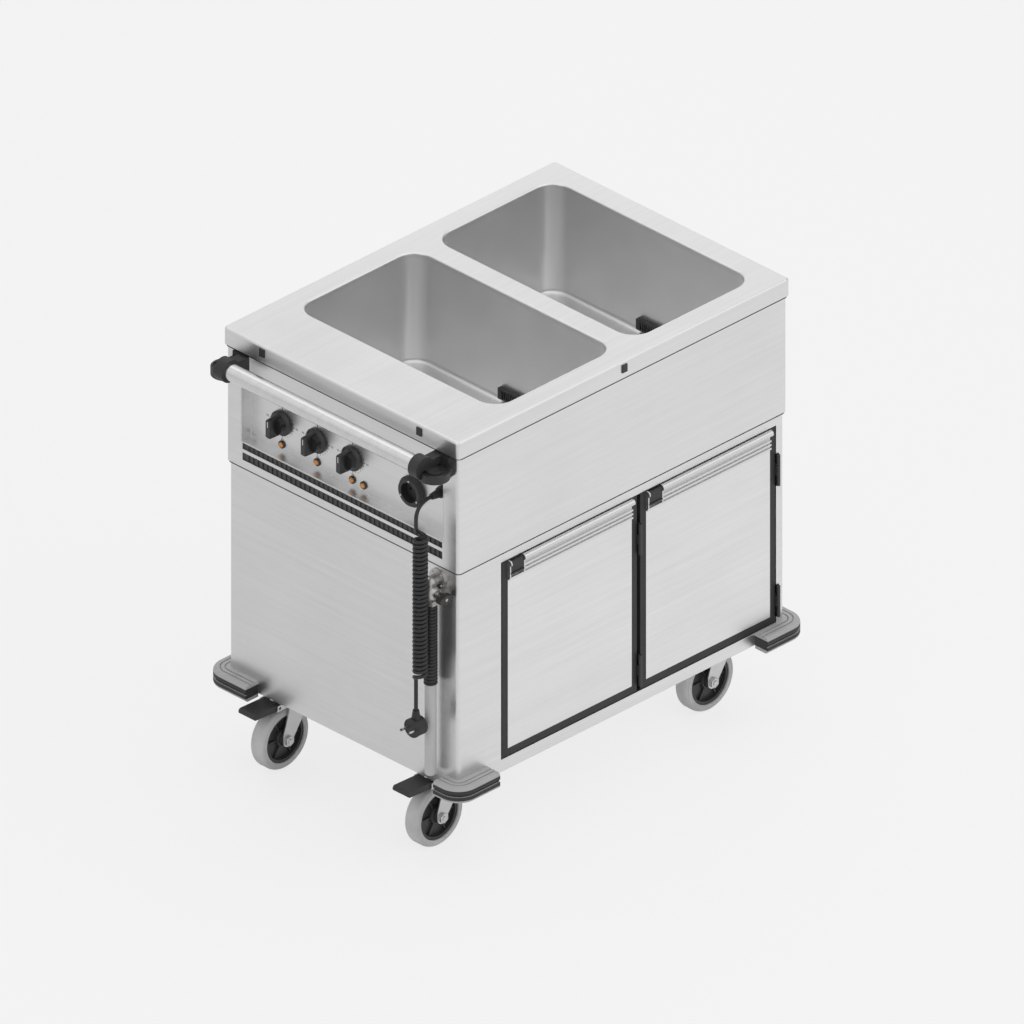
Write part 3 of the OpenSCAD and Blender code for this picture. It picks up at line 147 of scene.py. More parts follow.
def bump(tree, shader, height, distance, strength=0.5):
    made = node_of(tree, "ShaderNodeBump", {
        "Height": height, "Distance": distance, "Strength": strength,
    })
    tree.links.new(made.outputs["Normal"], shader.inputs["Normal"])
    return made


def grey(value, warmth=0.0):
    return (value * (1 + warmth), value, value * (1 - warmth), 1.0)


# Finishes

# The stretches of a noise that a finish spreads over its whole range
FULL = (0.3, 0.7)
CLOUDY = (0.35, 0.65)
RUBBED = (0.4, 0.7)
MOTTLED = (0.35, 0.7)

PLASTIC_GLOSS = 0.45
END_ON = 0.7
GRAIN_STRETCH = 90
STREAK_WIDTH = 9
STREAK_STRETCH = 450
STREAK_SHARE = 0.5
MARK_SHARE = 0.45
STEEL_RELIEF = 0.08 * MM


def brushed_steel(name, shade, roughness, grain=900, edge=0.0):
    """Satin sheet: grain along each sheet's long way, with wider streaks and handling marks."""
    made, tree, shader = new_material(name, {"Metallic": 1.0, "Specular IOR Level": 0.5})
    coords = node_of(tree, "ShaderNodeTexCoord")
    facing = parts_of(tree, coords.outputs["Normal"])
    end_on = calc(tree, "GREATER_THAN", calc(tree, "ABSOLUTE", facing["X"]), END_ON)

    def grained(fine, along, detail):
        side = noise_at(tree, 1.0, detail, scale=(along, fine, fine))
        end = noise_at(tree, 1.0, detail, scale=(fine, along, fine))
        return blend_values(tree, end_on, side, end)

    lines = grained(grain, grain / GRAIN_STRETCH, 2.0)
    streaks = grained(grain / STREAK_WIDTH, grain / STREAK_STRETCH, 3.0)
    marks = noise_at(tree, 5.0, detail=5.0, roughness=0.6)
    tone = blend_values(tree, STREAK_SHARE, lines, streaks)
    light = spread(tree, tone, shade * 0.94, shade * 1.04, *FULL)
    cloud = spread(tree, marks, 0.97, 1.02, *FULL)
    value = calc(tree, "MULTIPLY", light, cloud)
    colour = node_of(tree, "ShaderNodeCombineColor", {"Red": value, "Green": value, "Blue": value})
    worn = blend_values(tree, MARK_SHARE, tone, marks)
    rough = spread(tree, worn, roughness - 0.06, roughness + 0.08, *FULL)
    paint(tree, shader, colour.outputs["Color"], rough)
    relief = bump(tree, shader, tone, STEEL_RELIEF)
    if edge:
        rounded = node_of(tree, "ShaderNodeBevel", {"Radius": edge}, samples=4)
        tree.links.new(rounded.outputs["Normal"], relief.inputs["Normal"])
    return made


def drawn_steel(name, shade, roughness):
    """Deep-drawn sheet: an even satin with soft clouds where it was polished, and no grain."""
    made, tree, shader = new_material(name, {"Metallic": 1.0})
    clouds = noise_at(tree, 5.0)
    fine = noise_at(tree, 1500.0)
    share = spread(tree, clouds, 0, 1, *CLOUDY)
    colour = blend_colours(tree, share, grey(shade * 0.95), grey(shade * 1.03))
    rough = spread(tree, clouds, roughness - 0.02, roughness + 0.03, *FULL)
    paint(tree, shader, colour, rough)
    bump(tree, shader, fine, 0.03 * MM)
    return made


def plated(name, shade, roughness, warmth=0.0):
    """Zinc plate or polished tube: bright metal with a faint cloudy tarnish."""
    made, tree, shader = new_material(name, {"Metallic": 1.0})
    cloud = noise_at(tree, 60.0, detail=4.0)
    share = spread(tree, cloud, 0, 1, *CLOUDY)
    colour = blend_colours(tree, share, grey(shade * 0.93, warmth), grey(shade, warmth))
    rough = spread(tree, cloud, roughness - 0.04, roughness + 0.07, *FULL)
    paint(tree, shader, colour, rough)
    bump(tree, shader, cloud, 0.1 * MM, strength=0.25)
    return made


def moulded(name, shade, roughness, grain=1800, depth=0.12 * MM, coat=0.0):
    """Moulded plastic or rubber: a fine spark-eroded grain, rubbed smoother in places."""
    made, tree, shader = new_material(name, {
        "Specular IOR Level": PLASTIC_GLOSS, "Coat Weight": coat,
    })
    pits = noise_at(tree, grain)
    rubbed = noise_at(tree, 14.0, detail=4.0)
    share = spread(tree, rubbed, 0, 1, *RUBBED)
    colour = blend_colours(tree, share, grey(shade), grey(shade * 1.25))
    rough = spread(tree, rubbed, roughness - 0.07, roughness + 0.08, *FULL)
    paint(tree, shader, colour, rough)
    bump(tree, shader, pits, depth)
    return made


RIB_PITCH = 4.5 * MM
RIB_DEPTH = 0.6 * MM
UPRIGHT = 0.3


def ribbed_bumper(name, top_shade, band_shade, middle, half_band):
    """Bumper: a pale moulding with a dark ribbed band let into its upright face."""
    made, tree, shader = new_material(name, {"Specular IOR Level": PLASTIC_GLOSS})
    coords = node_of(tree, "ShaderNodeTexCoord")
    height = parts_of(tree, coords.outputs["Object"])["Z"]
    facing = parts_of(tree, coords.outputs["Normal"])
    off = calc(tree, "ABSOLUTE", calc(tree, "SUBTRACT", height, middle))
    in_band = calc(tree, "LESS_THAN", off, half_band)
    upright = calc(tree, "LESS_THAN", calc(tree, "ABSOLUTE", facing["Z"]), UPRIGHT)
    band = calc(tree, "MULTIPLY", in_band, upright)
    rubbed = noise_at(tree, 16.0, detail=4.0)
    share = spread(tree, rubbed, 0, 1, *RUBBED)
    pale = blend_colours(tree, share, grey(top_shade), grey(top_shade * 1.12))
    dark = blend_colours(tree, share, grey(band_shade), grey(band_shade * 1.4))
    rough = spread(tree, rubbed, 0.46, 0.62, *FULL)
    paint(tree, shader, blend_colours(tree, band, pale, dark), rough)
    ribs = calc(tree, "SINE", calc(tree, "MULTIPLY", height, 2 * math.pi / RIB_PITCH))
    ribs = calc(tree, "MULTIPLY", ribs, band)
    grain = noise_at(tree, 900.0)
    bump(tree, shader, calc(tree, "MULTIPLY_ADD", grain, 0.12, ribs), RIB_DEPTH, strength=0.8)
    return made


def hose_and_pipe(name, hose_shade, pipe_shade, border):
    """Drain: a black ribbed hose above the border, a pale rigid pipe below it."""
    made, tree, shader = new_material(name, {"Specular IOR Level": PLASTIC_GLOSS})
    coords = node_of(tree, "ShaderNodeTexCoord")
    height = parts_of(tree, coords.outputs["Object"])["Z"]
    above = calc(tree, "GREATER_THAN", height, border)
    rubbed = noise_at(tree, 22.0, detail=4.0)
    share = spread(tree, rubbed, 0, 1, *MOTTLED)
    hose = blend_colours(tree, share, grey(hose_shade), grey(hose_shade * 1.4))
    pipe = blend_colours(tree, share, grey(pipe_shade), grey(pipe_shade * 1.06))
    rough = spread(tree, rubbed, 0.36, 0.5, *FULL)
    paint(tree, shader, blend_colours(tree, above, pipe, hose), rough)
    bump(tree, shader, noise_at(tree, 1300.0), 0.06 * MM)
    return made


def lamp_lens(name, colour):
    """A pilot lamp's lens: tinted, glossy and slightly milky, with faint flutes."""
    made, tree, shader = new_material(name, {
        "Base Color": (*colour, 1), "Roughness": 0.12, "Coat Weight": 0.6,
        "Subsurface Weight": 0.25, "Subsurface Scale": 0.004,
    })
    bump(tree, shader, noise_at(tree, 420.0, detail=1.0), 0.2 * MM, strength=0.3)
    return made


STEEL = brushed_steel("satin_steel", 0.76, 0.34, edge=1.4 * MM)
DOOR_STEEL = brushed_steel("door_steel", 0.79, 0.33)
INNER_STEEL = drawn_steel("drawn_steel", 0.78, 0.36)
TUBE = plated("polished_tube", 0.74, 0.20)
ZINC = plated("zinc_plate", 0.62, 0.32)
FIXING = plated("screw_steel", 0.60, 0.28)
VALVE = plated("valve_nickel", 0.50, 0.36, warmth=0.03)
TRIM = brushed_steel("anodised_trim", 0.72, 0.36, grain=1200)
BLACK = moulded("black_moulding", 0.028, 0.48)
GLOSS_BLACK = moulded("dial_black", 0.020, 0.32, depth=0.04 * MM, coat=0.2)
DARK_METAL = moulded("dark_coating", 0.040, 0.44, grain=900, depth=0.08 * MM)
# Black rubber for the door seals; the same black also paints the shadow lines in the casing joints.
SEAL_AND_SHADE_STRIP = moulded("door_seal", 0.022, 0.52, grain=600)
SHEATH = moulded("lead_sheath", 0.020, 0.42, grain=1400, depth=0.06 * MM)
TYRE = moulded("grey_tyre", 0.58, 0.62, grain=900, depth=0.2 * MM)
HUB = moulded("hub_nylon", 0.045, 0.42)
LENS = lamp_lens("amber_lens", (0.85, 0.34, 0.05))
ELEMENT = moulded("element_sheath", 0.13, 0.45, grain=500)
INK = moulded("printed_ink", 0.018, 0.55, depth=0.01 * MM)
WHITE = moulded("pointer_white", 0.72, 0.45, depth=0.02 * MM)
BUMPER = ribbed_bumper("bumper_moulding", 0.50, 0.030, middle=166.5 * MM, half_band=10 * MM)
DRAIN = hose_and_pipe("hose_and_pipe", 0.022, 0.60, border=376 * MM)

FINISHES = {
    "steel": STEEL, "steel_inner": INNER_STEEL, "bar_steel": TUBE, "door_trim": TRIM,
    "zinc": ZINC, "black_plastic": BLACK, "dark_metal": DARK_METAL, "bumper": BUMPER,
    "seal_rubber": SEAL_AND_SHADE_STRIP, "lead": SHEATH, "tyre": TYRE, "hub": HUB, "lens": LENS,
    "element": ELEMENT,
}
OWN_FINISHES = {
    "door_1_panel": DOOR_STEEL, "door_2_panel": DOOR_STEEL,
    "knob_1": GLOSS_BLACK, "knob_2": GLOSS_BLACK, "knob_3": GLOSS_BLACK,
    "drain_downpipe": DRAIN, "drain_tap": VALVE,
}


def finish_nodes():
    for part in frame["record"]["subparts"]:
        name = part["node"]
        mesh = nodes[name].data
        mesh.materials.clear()
        mesh.materials.append(OWN_FINISHES.get(name, FINISHES[part["material_slot"]]))


# Making and placing meshes


def at_mm(x, y, z):
    return Vector((x, y, z)) * MM


def place(at, along=Z_AXIS):
    """A matrix that stands a piece made along +Z at a point, along another direction."""
    turn = Z_AXIS.rotation_difference(Vector(along)).to_matrix().to_4x4()
    return Matrix.Translation(at) @ turn


def turned(shape, profile, steps):
    """Spins a profile of (radius, height) points in millimetres about Z and closes it."""
    points = [shape.verts.new((r * MM, 0, z * MM)) for r, z in profile]
    edges = [shape.edges.new(pair) for pair in zip(points, points[1:])]
    bmesh.ops.spin(
        shape, geom=points + edges, cent=(0, 0, 0), axis=Z_AXIS, angle=2 * math.pi, steps=steps,
        use_merge=True, use_duplicate=False,
    )
    bmesh.ops.remove_doubles(shape, verts=shape.verts, dist=0.01 * MM)


def lathe(profile, steps):
    """What builds one turned shape."""
    def build(shape):
        turned(shape, profile, steps)

    return build


def cube(shape, size, at):
    """A block with sharp edges, by its size and middle in millimetres."""
    made = bmesh.ops.create_cube(shape, size=1.0)["verts"]
    bmesh.ops.scale(shape, verts=made, vec=[length * MM for length in size])
    bmesh.ops.translate(shape, verts=made, vec=at_mm(*at))
    return made


def turn_about_z(shape, verts, angle):
    turn = Matrix.Rotation(angle, 3, "Z")
    bmesh.ops.rotate(shape, verts=verts, cent=(0, 0, 0), matrix=turn)


def edges_of(verts):
    return list({edge for vert in verts for edge in vert.link_edges})


def soften(shape, edges, offset, segments):
    """Rounds edges by an offset in millimetres."""
    bmesh.ops.bevel(
        shape, geom=edges, offset=offset * MM, segments=segments, profile=0.5, affect="EDGES",
        material=-1,
    )


def add_mesh(name, mesh, material, body):
    mesh.materials.clear()
    mesh.materials.append(material)
    piece = bpy.data.objects.new(name, mesh)
    bpy.context.scene.collection.objects.link(piece)
    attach(piece, body)
    return piece


SHARP_FROM = math.radians(35)


def add_set(name, build, places, material, body):
    """One mesh that holds the same shape at each place."""
    shape = bmesh.new()
    for matrix in places:
        single = bmesh.new()
        build(single)
        bmesh.ops.recalc_face_normals(single, faces=single.faces)
        bmesh.ops.transform(single, matrix=matrix, verts=single.verts)
        scratch = bpy.data.meshes.new("scratch")
        single.to_mesh(scratch)
        single.free()
        shape.from_mesh(scratch)
        bpy.data.meshes.remove(scratch)
    mesh = bpy.data.meshes.new(name)
    shape.to_mesh(mesh)
    shape.free()
    mesh.shade_smooth()
    mesh.set_sharp_from_angle(angle=SHARP_FROM)
    return add_mesh(name, mesh, material, body)


# Where the fittings sit, in millimetres: a face of the part first, then places on the faces
PANEL_X = -378.25
CASING_X = -403.25
BODY_X = -399.25
FAR_X = 441.75
BACK_Y = 296
TOWARDS_USER = (-1, 0, 0)
KNOB_YS = (180, 89, -2)
KNOB_Z = 736
LAMP_YS = (180, 89, -2, -31)
LAMP_Z = 690

# Screws
SUNK = 0.3
BIG_HEAD, SMALL_HEAD = (3.6, 2.2), (2.3, 1.5)
PANEL_SCREW_YS, PANEL_SCREW_ZS = (-252, 252), (684, 862)
PAD_SCREW_YS, PAD_SCREW_Z, PAD_OUT = (-250, -272, 250, 272), 821, 5
BACK_SCREW_XS, FAR_SCREW_YS = (-340, -105, 147, 382), (-250, 0, 250)
CASING_SCREW_ZS = (210, 585)
SOCKET_MIDDLE, SOCKET_SCREW_R, SOCKET_OUT = (-158, 730), 23.6, 12
FLANGE_MIDDLE, FLANGE_SCREW_R, FLANGE_OUT = (-244, 590), 15.5, 4


def button_head(radius, height, steps):
    """A domed screw head with a sunk socket, from its axis outwards."""
    socket = radius * 0.42
    return lathe([
        (0, height * 0.4), (socket * 0.9, height * 0.4), (socket, height * 0.95),
        (radius * 0.62, height), (radius * 0.86, height * 0.72), (radius, height * 0.2),
        (radius, -SUNK), (0, -SUNK),
    ], steps)


def screw_ring(x, middle, radius, angles):
    """Places on a circle round a middle (y, z), facing the user."""
    y, z = middle
    return [
        place(at_mm(x, y + radius * math.sin(a), z + radius * math.cos(a)), TOWARDS_USER)
        for a in angles
    ]


def add_screws():
    big, small = button_head(*BIG_HEAD, steps=20), button_head(*SMALL_HEAD, steps=16)
    panel = [at_mm(PANEL_X, y, z) for y in PANEL_SCREW_YS for z in PANEL_SCREW_ZS]
    pads = [at_mm(CASING_X - PAD_OUT, y, PAD_SCREW_Z) for y in PAD_SCREW_YS]
    front = [place(spot, TOWARDS_USER) for spot in panel + pads]
    add_set("panel_screws", big, front, FIXING, "trolley")
    back = [
        place(at_mm(x, BACK_Y, z), (0, 1, 0)) for x in BACK_SCREW_XS for z in CASING_SCREW_ZS
    ]
    far = [place(at_mm(FAR_X, y, z), (1, 0, 0)) for y in FAR_SCREW_YS for z in CASING_SCREW_ZS]
    add_set("casing_screws", big, back + far, FIXING, "trolley")
    thirds = [k * 2 * math.pi / 3 for k in range(3)]
    corners = [(k + 0.5) * QUARTER for k in range(4)]
    socket = screw_ring(PANEL_X - SOCKET_OUT, SOCKET_MIDDLE, SOCKET_SCREW_R, thirds)
    flange = screw_ring(BODY_X - FLANGE_OUT, FLANGE_MIDDLE, FLANGE_SCREW_R, corners)
    add_set("small_screws", small, socket + flange, FIXING, "trolley")


# Dark strips in the joints, which paint the shadow line there: half length, half width, corner
# radius, bottom and top
FASCIA_JOINT = (427.4, 302.9, 11, 861.8, 864.9)
CASING_JOINT = (423.2, 298.7, 9, 616.6, 619.9)
JOINT_MIDDLE_X = 21.25
STRIP_WIDTH = 2


def joint_shade_frame(half_x, half_y, corner, low, high):
    """What builds a rounded level frame of dark strip, open in the middle, that paints a joint's
    shadow line.
    """
    def build(shape):
        cube(shape, (2 * half_x, 2 * half_y, high - low), at=(0, 0, (high + low) / 2))
        upright = [
            edge for edge in shape.edges
            if abs(edge.verts[0].co.z - edge.verts[1].co.z) > MM
        ]
        soften(shape, upright, corner, segments=8)
        shape.normal_update()
        flats = [face for face in shape.faces if abs(face.normal.z) > 0.5]
        bmesh.ops.inset_region(
            shape, faces=flats, thickness=STRIP_WIDTH * MM, use_even_offset=True,
        )
        bmesh.ops.delete(shape, geom=flats, context="FACES")
        rims = [edge for edge in shape.edges if len(edge.link_faces) == 1]
        bmesh.ops.bridge_loops(shape, edges=rims)

    return build


def add_joint_shade_strips():
    """Dark strips in the joints under the worktop's fascia and under the upper casing, painting the
    shadow line in each joint.
    """
    middle = [Matrix.Translation(at_mm(JOINT_MIDDLE_X, 0, 0))]
    # Painted shadow: black strips stand in for the shade in these joints.
    add_set("fascia_joint_shade", joint_shade_frame(*FASCIA_JOINT), middle, SEAL_AND_SHADE_STRIP, "trolley")
    add_set("casing_joint_shade", joint_shade_frame(*CASING_JOINT), middle, SEAL_AND_SHADE_STRIP, "trolley")


# Dial print: ticks by width and length, numerals by text and distance from the knob's middle
TICKS, TICK_STEP, LONG_EVERY = 19, math.radians(15), 6
TICK_R = 27.2
INDEX_TICK, LONG_TICK, SHORT_TICK = (2.0, 18.0), (1.3, 5.0), (0.9, 3.2)
INK_DEPTH = 0.1
NUMERALS = (("30", 37.5), ("60", 35.2), ("90", 37.5))
NUMERAL_SIZE = 6.4 * MM


def dial_ticks(shape):
    """Ticks round a knob, from the top clockwise over three quarter turns, as the user sees it."""
    for k in range(TICKS):
        width, length = LONG_TICK if k % LONG_EVERY == 0 else SHORT_TICK
        if k == 0:
            width, length = INDEX_TICK
        made = cube(shape, (width, length, INK_DEPTH), at=(0, TICK_R + length / 2, 0))
        turn_about_z(shape, made, -TICK_STEP * k)


def printed(at):
    """Stands flat print on the panel, with its right along -Y and its top along +Z."""
    turn = Matrix(((0, 0, -1), (-1, 0, 0), (0, 1, 0))).to_4x4()
    return Matrix.Translation(at) @ turn


def numeral_mesh(text):
    line = bpy.data.curves.new("numeral", "FONT")
    line.body = text
    line.size = NUMERAL_SIZE
    line.align_x = "CENTER"
    line.align_y = "CENTER"
    line.extrude = INK_DEPTH / 2 * MM
    line.resolution_u = 3
    holder = bpy.data.objects.new("numeral", line)
    mesh = bpy.data.meshes.new_from_object(holder)
    bpy.data.objects.remove(holder)
    bpy.data.curves.remove(line)
    return mesh


def add_dial_print():
    dials = [printed(at_mm(PANEL_X, y, KNOB_Z)) for y in KNOB_YS]
    add_set("dial_ticks", dial_ticks, dials, INK, "trolley")
    shape = bmesh.new()
    for y in KNOB_YS:
        for k, (text, reach) in enumerate(NUMERALS, start=1):
            mesh = numeral_mesh(text)
            turn = k * QUARTER
            spot = (PANEL_X, y - reach * math.sin(turn), KNOB_Z + reach * math.cos(turn))
            mesh.transform(printed(at_mm(*spot)))
            shape.from_mesh(mesh)
            bpy.data.meshes.remove(mesh)
    mesh = bpy.data.meshes.new("dial_numerals")
    shape.to_mesh(mesh)
    shape.free()
    add_mesh("dial_numerals", mesh, INK, "trolley")


# Pointers: white bars let into the knobs' tips
POINTER_SIZE, POINTER_OUT, POINTER_EDGE = (1.8, 12, 0.8), 10.5, 0.3


def pointer(shape):
    made = cube(shape, POINTER_SIZE, at=(0, POINTER_OUT, 0))
    soften(shape, edges_of(made), POINTER_EDGE, segments=2)


def add_pointers():
    for k, y in enumerate(KNOB_YS, start=1):
        knob = "knob_%d" % k
        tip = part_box(knob)[0][0]
        spot = printed((tip, y * MM, KNOB_Z * MM))
        add_set("pointer_%d" % k, pointer, [spot], WHITE, knob)


# Pilot lamps
lamp_bezel = lathe([
    (5.7, 1.0), (5.7, 3.2), (6.1, 3.7), (6.9, 3.6), (7.8, 2.6), (8.0, 0), (5.7, 0), (5.7, 1.0),
], steps=28)
lamp_dome = lathe([
    (0, 6.6), (2.2, 6.4), (4.0, 5.7), (5.2, 4.4), (5.6, 2.6), (5.6, 1.0), (0, 1.0),
], steps=28)


def add_pilot_lamps():
    spots = [place(at_mm(PANEL_X, y, LAMP_Z), TOWARDS_USER) for y in LAMP_YS]
    add_set("lamp_bezels", lamp_bezel, spots, GLOSS_BLACK, "trolley")
    add_set("lamp_domes", lamp_dome, spots, LENS, "trolley")


# Castors: moulded spokes, hub rings, sidewall rings and axle nuts
CASTORS = {1: (-328.25, -199), 2: (-328.25, 199), 3: (370.75, -199), 4: (370.75, 199)}
TRAIL = 38
AXLE_Z = 62.5
LEG_OUT = 23
SPOKES, SPOKE_SIZE, SPOKE_OUT, SPOKE_EDGE = 6, (26, 3.2, 19), 29, 0.7
SIDEWALL_RS, SIDEWALL_Z, SIDEWALL_TOP = (51.2, 56.5), 15.6, 16.5
NUT_R, NUT_HEIGHT, NUT_EDGE = 10.6, 5.6, 0.8
hub_ring = lathe([
    (13.5, 4), (13.5, 11.5), (14.5, 12.5), (16.5, 12.2), (17.5, 10.5), (18, 4), (13.5, 4),
], steps=28)


def spokes(shape):
    for k in range(SPOKES):
        made = cube(shape, SPOKE_SIZE, at=(SPOKE_OUT, 0, 0))
        turn_about_z(shape, made, k * 2 * math.pi / SPOKES)
        soften(shape, edges_of(made), SPOKE_EDGE, segments=1)


def sidewall_rings(shape):
    for r in SIDEWALL_RS:
        turned(shape, [
            (r - 0.9, SIDEWALL_Z), (r - 0.5, SIDEWALL_TOP), (r + 0.5, SIDEWALL_TOP),
            (r + 0.9, SIDEWALL_Z), (r - 0.9, SIDEWALL_Z),
        ], steps=56)


def axle_nut(shape):
    """A hexagon nut with the axle's end in it."""
    made = bmesh.ops.create_cone(
        shape, cap_ends=True, segments=6, radius1=NUT_R * MM, radius2=NUT_R * MM,
        depth=NUT_HEIGHT * MM,
    )["verts"]
    bmesh.ops.translate(shape, verts=made, vec=(0, 0, NUT_HEIGHT / 2 * MM))
    soften(shape, edges_of(made), NUT_EDGE, segments=2)
    turned(shape, [(0, 8.4), (4.4, 8.4), (5.4, 7.4), (5.4, 5), (0, 5)], steps=20)


def add_castor_details():
    for n, (x, y) in CASTORS.items():
        castor = "castor_%d_" % n
        wheel, fork = castor + "wheel", castor + "fork"
        centre = at_mm(x - TRAIL, y, AXLE_Z)
        both = [place(centre, (0, side, 0)) for side in (-1, 1)]
        nuts = [
            place(centre + side * LEG_OUT * MM * Y_AXIS, (0, side, 0)) for side in (-1, 1)
        ]
        add_set(castor + "spokes", spokes, both[:1], HUB, wheel)
        add_set(castor + "hub_rings", hub_ring, both, HUB, wheel)
        add_set(castor + "sidewalls", sidewall_rings, both, TYRE, wheel)
        add_set(castor + "axle_nuts", axle_nut, nuts, FIXING, fork)


# Lead, in metres: the same route as in the part's source, on one smooth line
LEAD_D = 7.5 * MM
COIL_D = 29.5 * MM
CURLS = 34
STEPS_A_CURL = 24
STEPS_A_STRETCH = 4
EASE_DROP = 12 * MM
LEAD_Y = -0.240
LEAD_UPPER = [
    (-0.413, LEAD_Y, 0.765), (-0.421, LEAD_Y, 0.765), (-0.429, LEAD_Y, 0.764),
    (-0.437, LEAD_Y, 0.761), (-0.444, LEAD_Y, 0.756), (-0.449, LEAD_Y, 0.749),
    (-0.452, LEAD_Y, 0.741), (-0.453, LEAD_Y, 0.733), (-0.453, LEAD_Y, 0.725),
]
LEAD_LOWER = [(-0.453, LEAD_Y, z) for z in (0.385, 0.367, 0.349, 0.332)]


def rounded_route(points):
    """A smooth line through points."""
    route = []
    for i in range(len(points) - 1):
        before, a = Vector(points[max(i - 1, 0)]), Vector(points[i])
        b, after = Vector(points[i + 1]), Vector(points[min(i + 2, len(points) - 1)])
        for k in range(STEPS_A_STRETCH):
            t = k / STEPS_A_STRETCH
            route.append(0.5 * (
                2 * a + (b - before) * t + (2 * before - 5 * a + 4 * b - after) * t ** 2
                + (3 * a - before - 3 * b + after) * t ** 3
            ))
    return route + [Vector(points[-1])]


def curl_route():
    """The curls between the two straight stretches, with an eased first and last curl."""
    top, bottom = Vector(LEAD_UPPER[-1]), Vector(LEAD_LOWER[0])
    radius = (COIL_D - LEAD_D) / 2
    pitch = (top.z - bottom.z - 2 * LEAD_D - 2 * EASE_DROP) / CURLS

    def eased(t):
        return 2 * t - t * t if t < 1 else 1

    def angle(t):
        left = CURLS - t
        if t < 1:
            return math.pi * t * t
        if left < 1:
            return 2 * math.pi * (CURLS - 1) - math.pi * left * left
        return math.pi + 2 * math.pi * (t - 1)

    route = []
    for i in range(CURLS * STEPS_A_CURL + 1):
        t = i / STEPS_A_CURL
        turn = angle(t)
        route.append(Vector((
            top.x + radius * math.sin(turn),
            top.y - radius + radius * math.cos(turn),
            top.z - LEAD_D - pitch * t - EASE_DROP * (1 + eased(t) - eased(CURLS - t)),
        )))
    return route


# Plug, in millimetres: metal pins and a raised disc on each side of the moulded body
PLUG_X, PLUG_Y, PLUG_Z = -453, -240, 297.5
PLUG_HALF = 11
PIN_YS = (-9.5, 9.5)
plug_pin = lathe([
    (0, 19.2), (1.4, 18.9), (2.3, 17.6), (2.5, 16), (2.5, -0.5), (0, -0.5),
], steps=18)
plug_face = lathe([
    (0, 0.6), (15.8, 0.6), (16.6, 1.6), (18.2, 1.6), (18.9, 0.6), (18.9, -4.5), (18.3, -5.1),
    (0, -5.1),
], steps=40)


def add_plug_details():
    pins = [
        place(at_mm(PLUG_X - PLUG_HALF, PLUG_Y + y, PLUG_Z), TOWARDS_USER) for y in PIN_YS
    ]
    faces = [
        place(at_mm(PLUG_X + side * PLUG_HALF, PLUG_Y, PLUG_Z), (side, 0, 0))
        for side in (-1, 1)
    ]
    return [
        add_set("plug_pins", plug_pin, pins, FIXING, "trolley"),
        add_set("plug_faces", plug_face, faces, SHEATH, "trolley"),
    ]


def add_lead():
    """The curly lead, on one line with its two straight ends."""
    route = rounded_route(LEAD_UPPER) + curl_route() + rounded_route(LEAD_LOWER)
    line = bpy.data.curves.new("lead", "CURVE")
    line.dimensions = "3D"
    spline = line.splines.new("POLY")
    spline.points.add(len(route) - 1)
    for point, at in zip(spline.points, route):
        point.co = (*at, 1)
    line.bevel_depth = LEAD_D / 2
    line.bevel_resolution = 3
    line.use_fill_caps = True
    line.materials.append(SHEATH)
    lead = bpy.data.objects.new("lead", line)
    bpy.context.scene.collection.objects.link(lead)
    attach(lead, "trolley")
    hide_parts("lead_upper", "lead_coil", "lead_lower")
    add_plug_details()


# Room: a pale floor and even studio light
FLOOR_HALF = 30
FLOOR_SHADE, FLOOR_ROUGHNESS = 0.86, 0.75
# How far the floor glows: to the eye, and in the steel from the panel end to the door side
SEEN_GLOW = 0.74
MIRRORED_GLOW = (0.36, 0.74)
GLOW_REACH = (-0.7, 0.7)
SOFT_SKY = 0.52
# The sky that the steel mirrors, each as low and high share over a stretch of direction
SKY_BY_HEIGHT = (0.62, 1.0, -0.1, 0.8)
SKY_BY_SIDE = (1.0, 0.82, -0.9, 0.9)
SKY_OVERHEAD = (1.0, 0.78, 0.7, 0.95)
LIGHT_TARGET = Vector((0, 0, 0.45))
# Lamps by name, place, size and power: large and weak, so that none turns the steel white
LAMPS = (
    ("key", (1.3, -3.0, 2.8), (4.8, 4.0), 26),
    ("fill", (-3.0, -0.8, 1.9), (2.8, 2.4), 8),
    ("top", (0.4, 0.5, 3.6), (3.6, 3.6), 16),
    ("back", (2.6, 2.4, 1.9), (2.0, 1.6), 5),
)


def seen_directly(tree, rays):
    """1 for what the eye sees, straight or through glass."""
    return calc(tree, "MAXIMUM", rays["Is Camera Ray"], rays["Is Transmission Ray"])


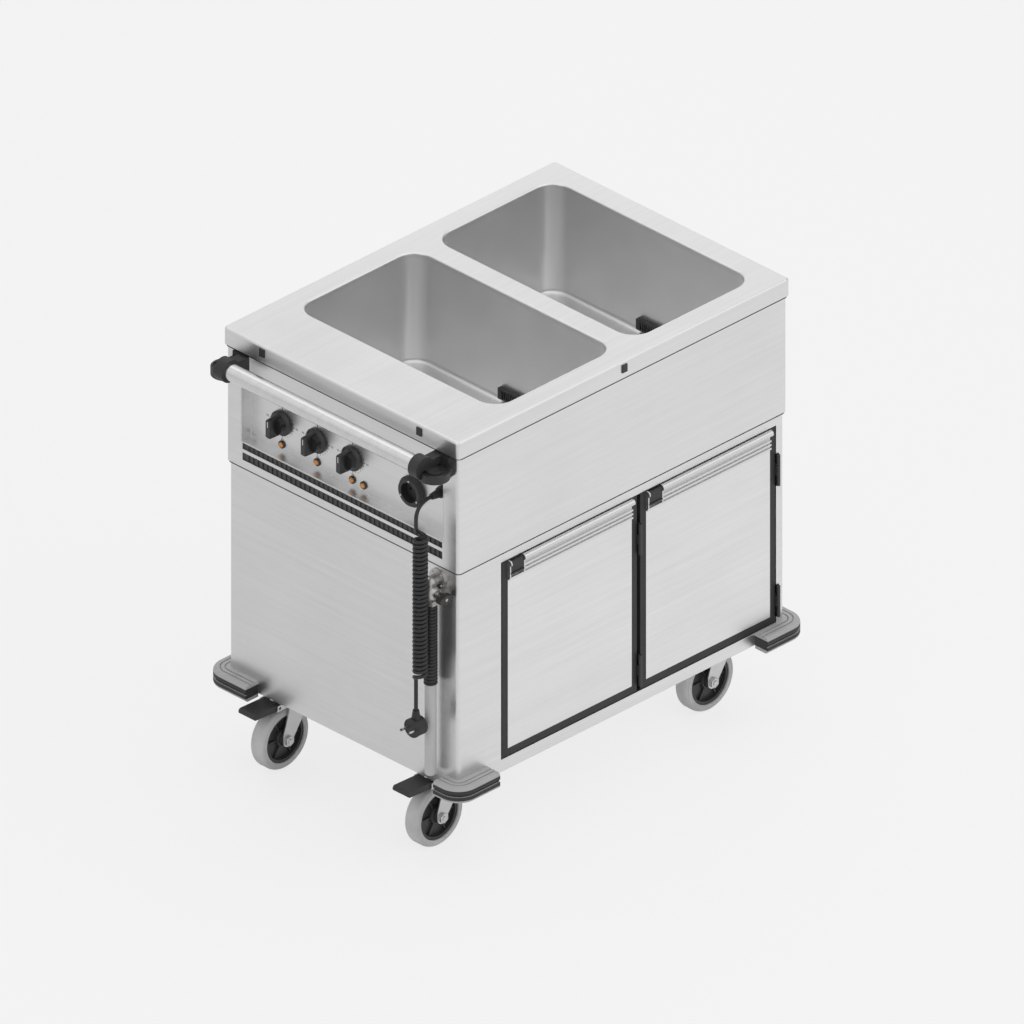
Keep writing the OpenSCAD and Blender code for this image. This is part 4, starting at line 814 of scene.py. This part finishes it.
def add_floor():
    mesh = bpy.data.meshes.new("floor")
    shape = bmesh.new()
    bmesh.ops.create_grid(shape, x_segments=1, y_segments=1, size=FLOOR_HALF)
    shape.to_mesh(mesh)
    shape.free()
    floor = bpy.data.objects.new("floor", mesh)
    bpy.context.scene.collection.objects.link(floor)
    made, tree, shader = new_material("floor", {
        "Base Color": grey(FLOOR_SHADE), "Roughness": FLOOR_ROUGHNESS,
    })
    rays = node_of(tree, "ShaderNodeLightPath").outputs
    coords = node_of(tree, "ShaderNodeTexCoord")
    at = parts_of(tree, coords.outputs["Object"])
    sideways = calc(tree, "SUBTRACT", at["X"], at["Y"])
    mirrored = spread(tree, sideways, *MIRRORED_GLOW, *GLOW_REACH)
    seen = calc(tree, "MULTIPLY", seen_directly(tree, rays), SEEN_GLOW)
    glossy = calc(tree, "MULTIPLY", rays["Is Glossy Ray"], mirrored)
    share = calc(tree, "MAXIMUM", seen, glossy)
    glow = node_of(tree, "ShaderNodeEmission", {"Color": grey(1.0), "Strength": 1.0})
    mixed = node_of(tree, "ShaderNodeMixShader", {
        0: share, 1: shader.outputs["BSDF"], 2: glow.outputs["Emission"],
    })
    output = tree.nodes["Material Output"]
    tree.links.new(mixed.outputs["Shader"], output.inputs["Surface"])
    mesh.materials.append(made)


def sky(tree, colour, strength):
    made = node_of(tree, "ShaderNodeBackground", {"Color": colour, "Strength": strength})
    return made.outputs[0]


def add_world():
    world = bpy.data.worlds.new("studio")
    bpy.context.scene.world = world
    world.use_nodes = True
    tree = world.node_tree
    tree.nodes.clear()
    rays = node_of(tree, "ShaderNodeLightPath").outputs
    coords = node_of(tree, "ShaderNodeTexCoord")
    direction = parts_of(tree, coords.outputs["Generated"])
    height = spread(tree, direction["Z"], *SKY_BY_HEIGHT)
    across = spread(tree, direction["X"], *SKY_BY_SIDE)
    overhead = spread(tree, direction["Z"], *SKY_OVERHEAD)
    level = calc(tree, "MULTIPLY", calc(tree, "MULTIPLY", height, across), overhead)
    soft, shown = sky(tree, grey(1.0), SOFT_SKY), sky(tree, grey(1.0), 1.0)
    mirrored = sky(tree, level, 1.0)
    glossy = node_of(tree, "ShaderNodeMixShader", {
        0: rays["Is Glossy Ray"], 1: soft, 2: mirrored,
    })
    final = node_of(tree, "ShaderNodeMixShader", {
        0: seen_directly(tree, rays), 1: glossy.outputs[0], 2: shown,
    })
    output = node_of(tree, "ShaderNodeOutputWorld")
    tree.links.new(final.outputs[0], output.inputs["Surface"])


def light_room():
    for name, place_of_lamp, size, power in LAMPS:
        data = bpy.data.lights.new(name, "AREA")
        data.shape = "RECTANGLE"
        data.size, data.size_y = size
        data.energy = power
        lamp = bpy.data.objects.new(name, data)
        bpy.context.scene.collection.objects.link(lamp)
        lamp.location = place_of_lamp
        lamp.rotation_mode = "QUATERNION"
        aim = LIGHT_TARGET - Vector(place_of_lamp)
        lamp.rotation_quaternion = aim.to_track_quat("-Z", "Y")


finish_nodes()
add_screws()
add_joint_shade_strips()
add_dial_print()
add_pointers()
add_pilot_lamps()
add_castor_details()
add_camera()
add_lead()
add_floor()
add_world()
light_room()
bpy.context.scene.view_settings.view_transform = "Standard"
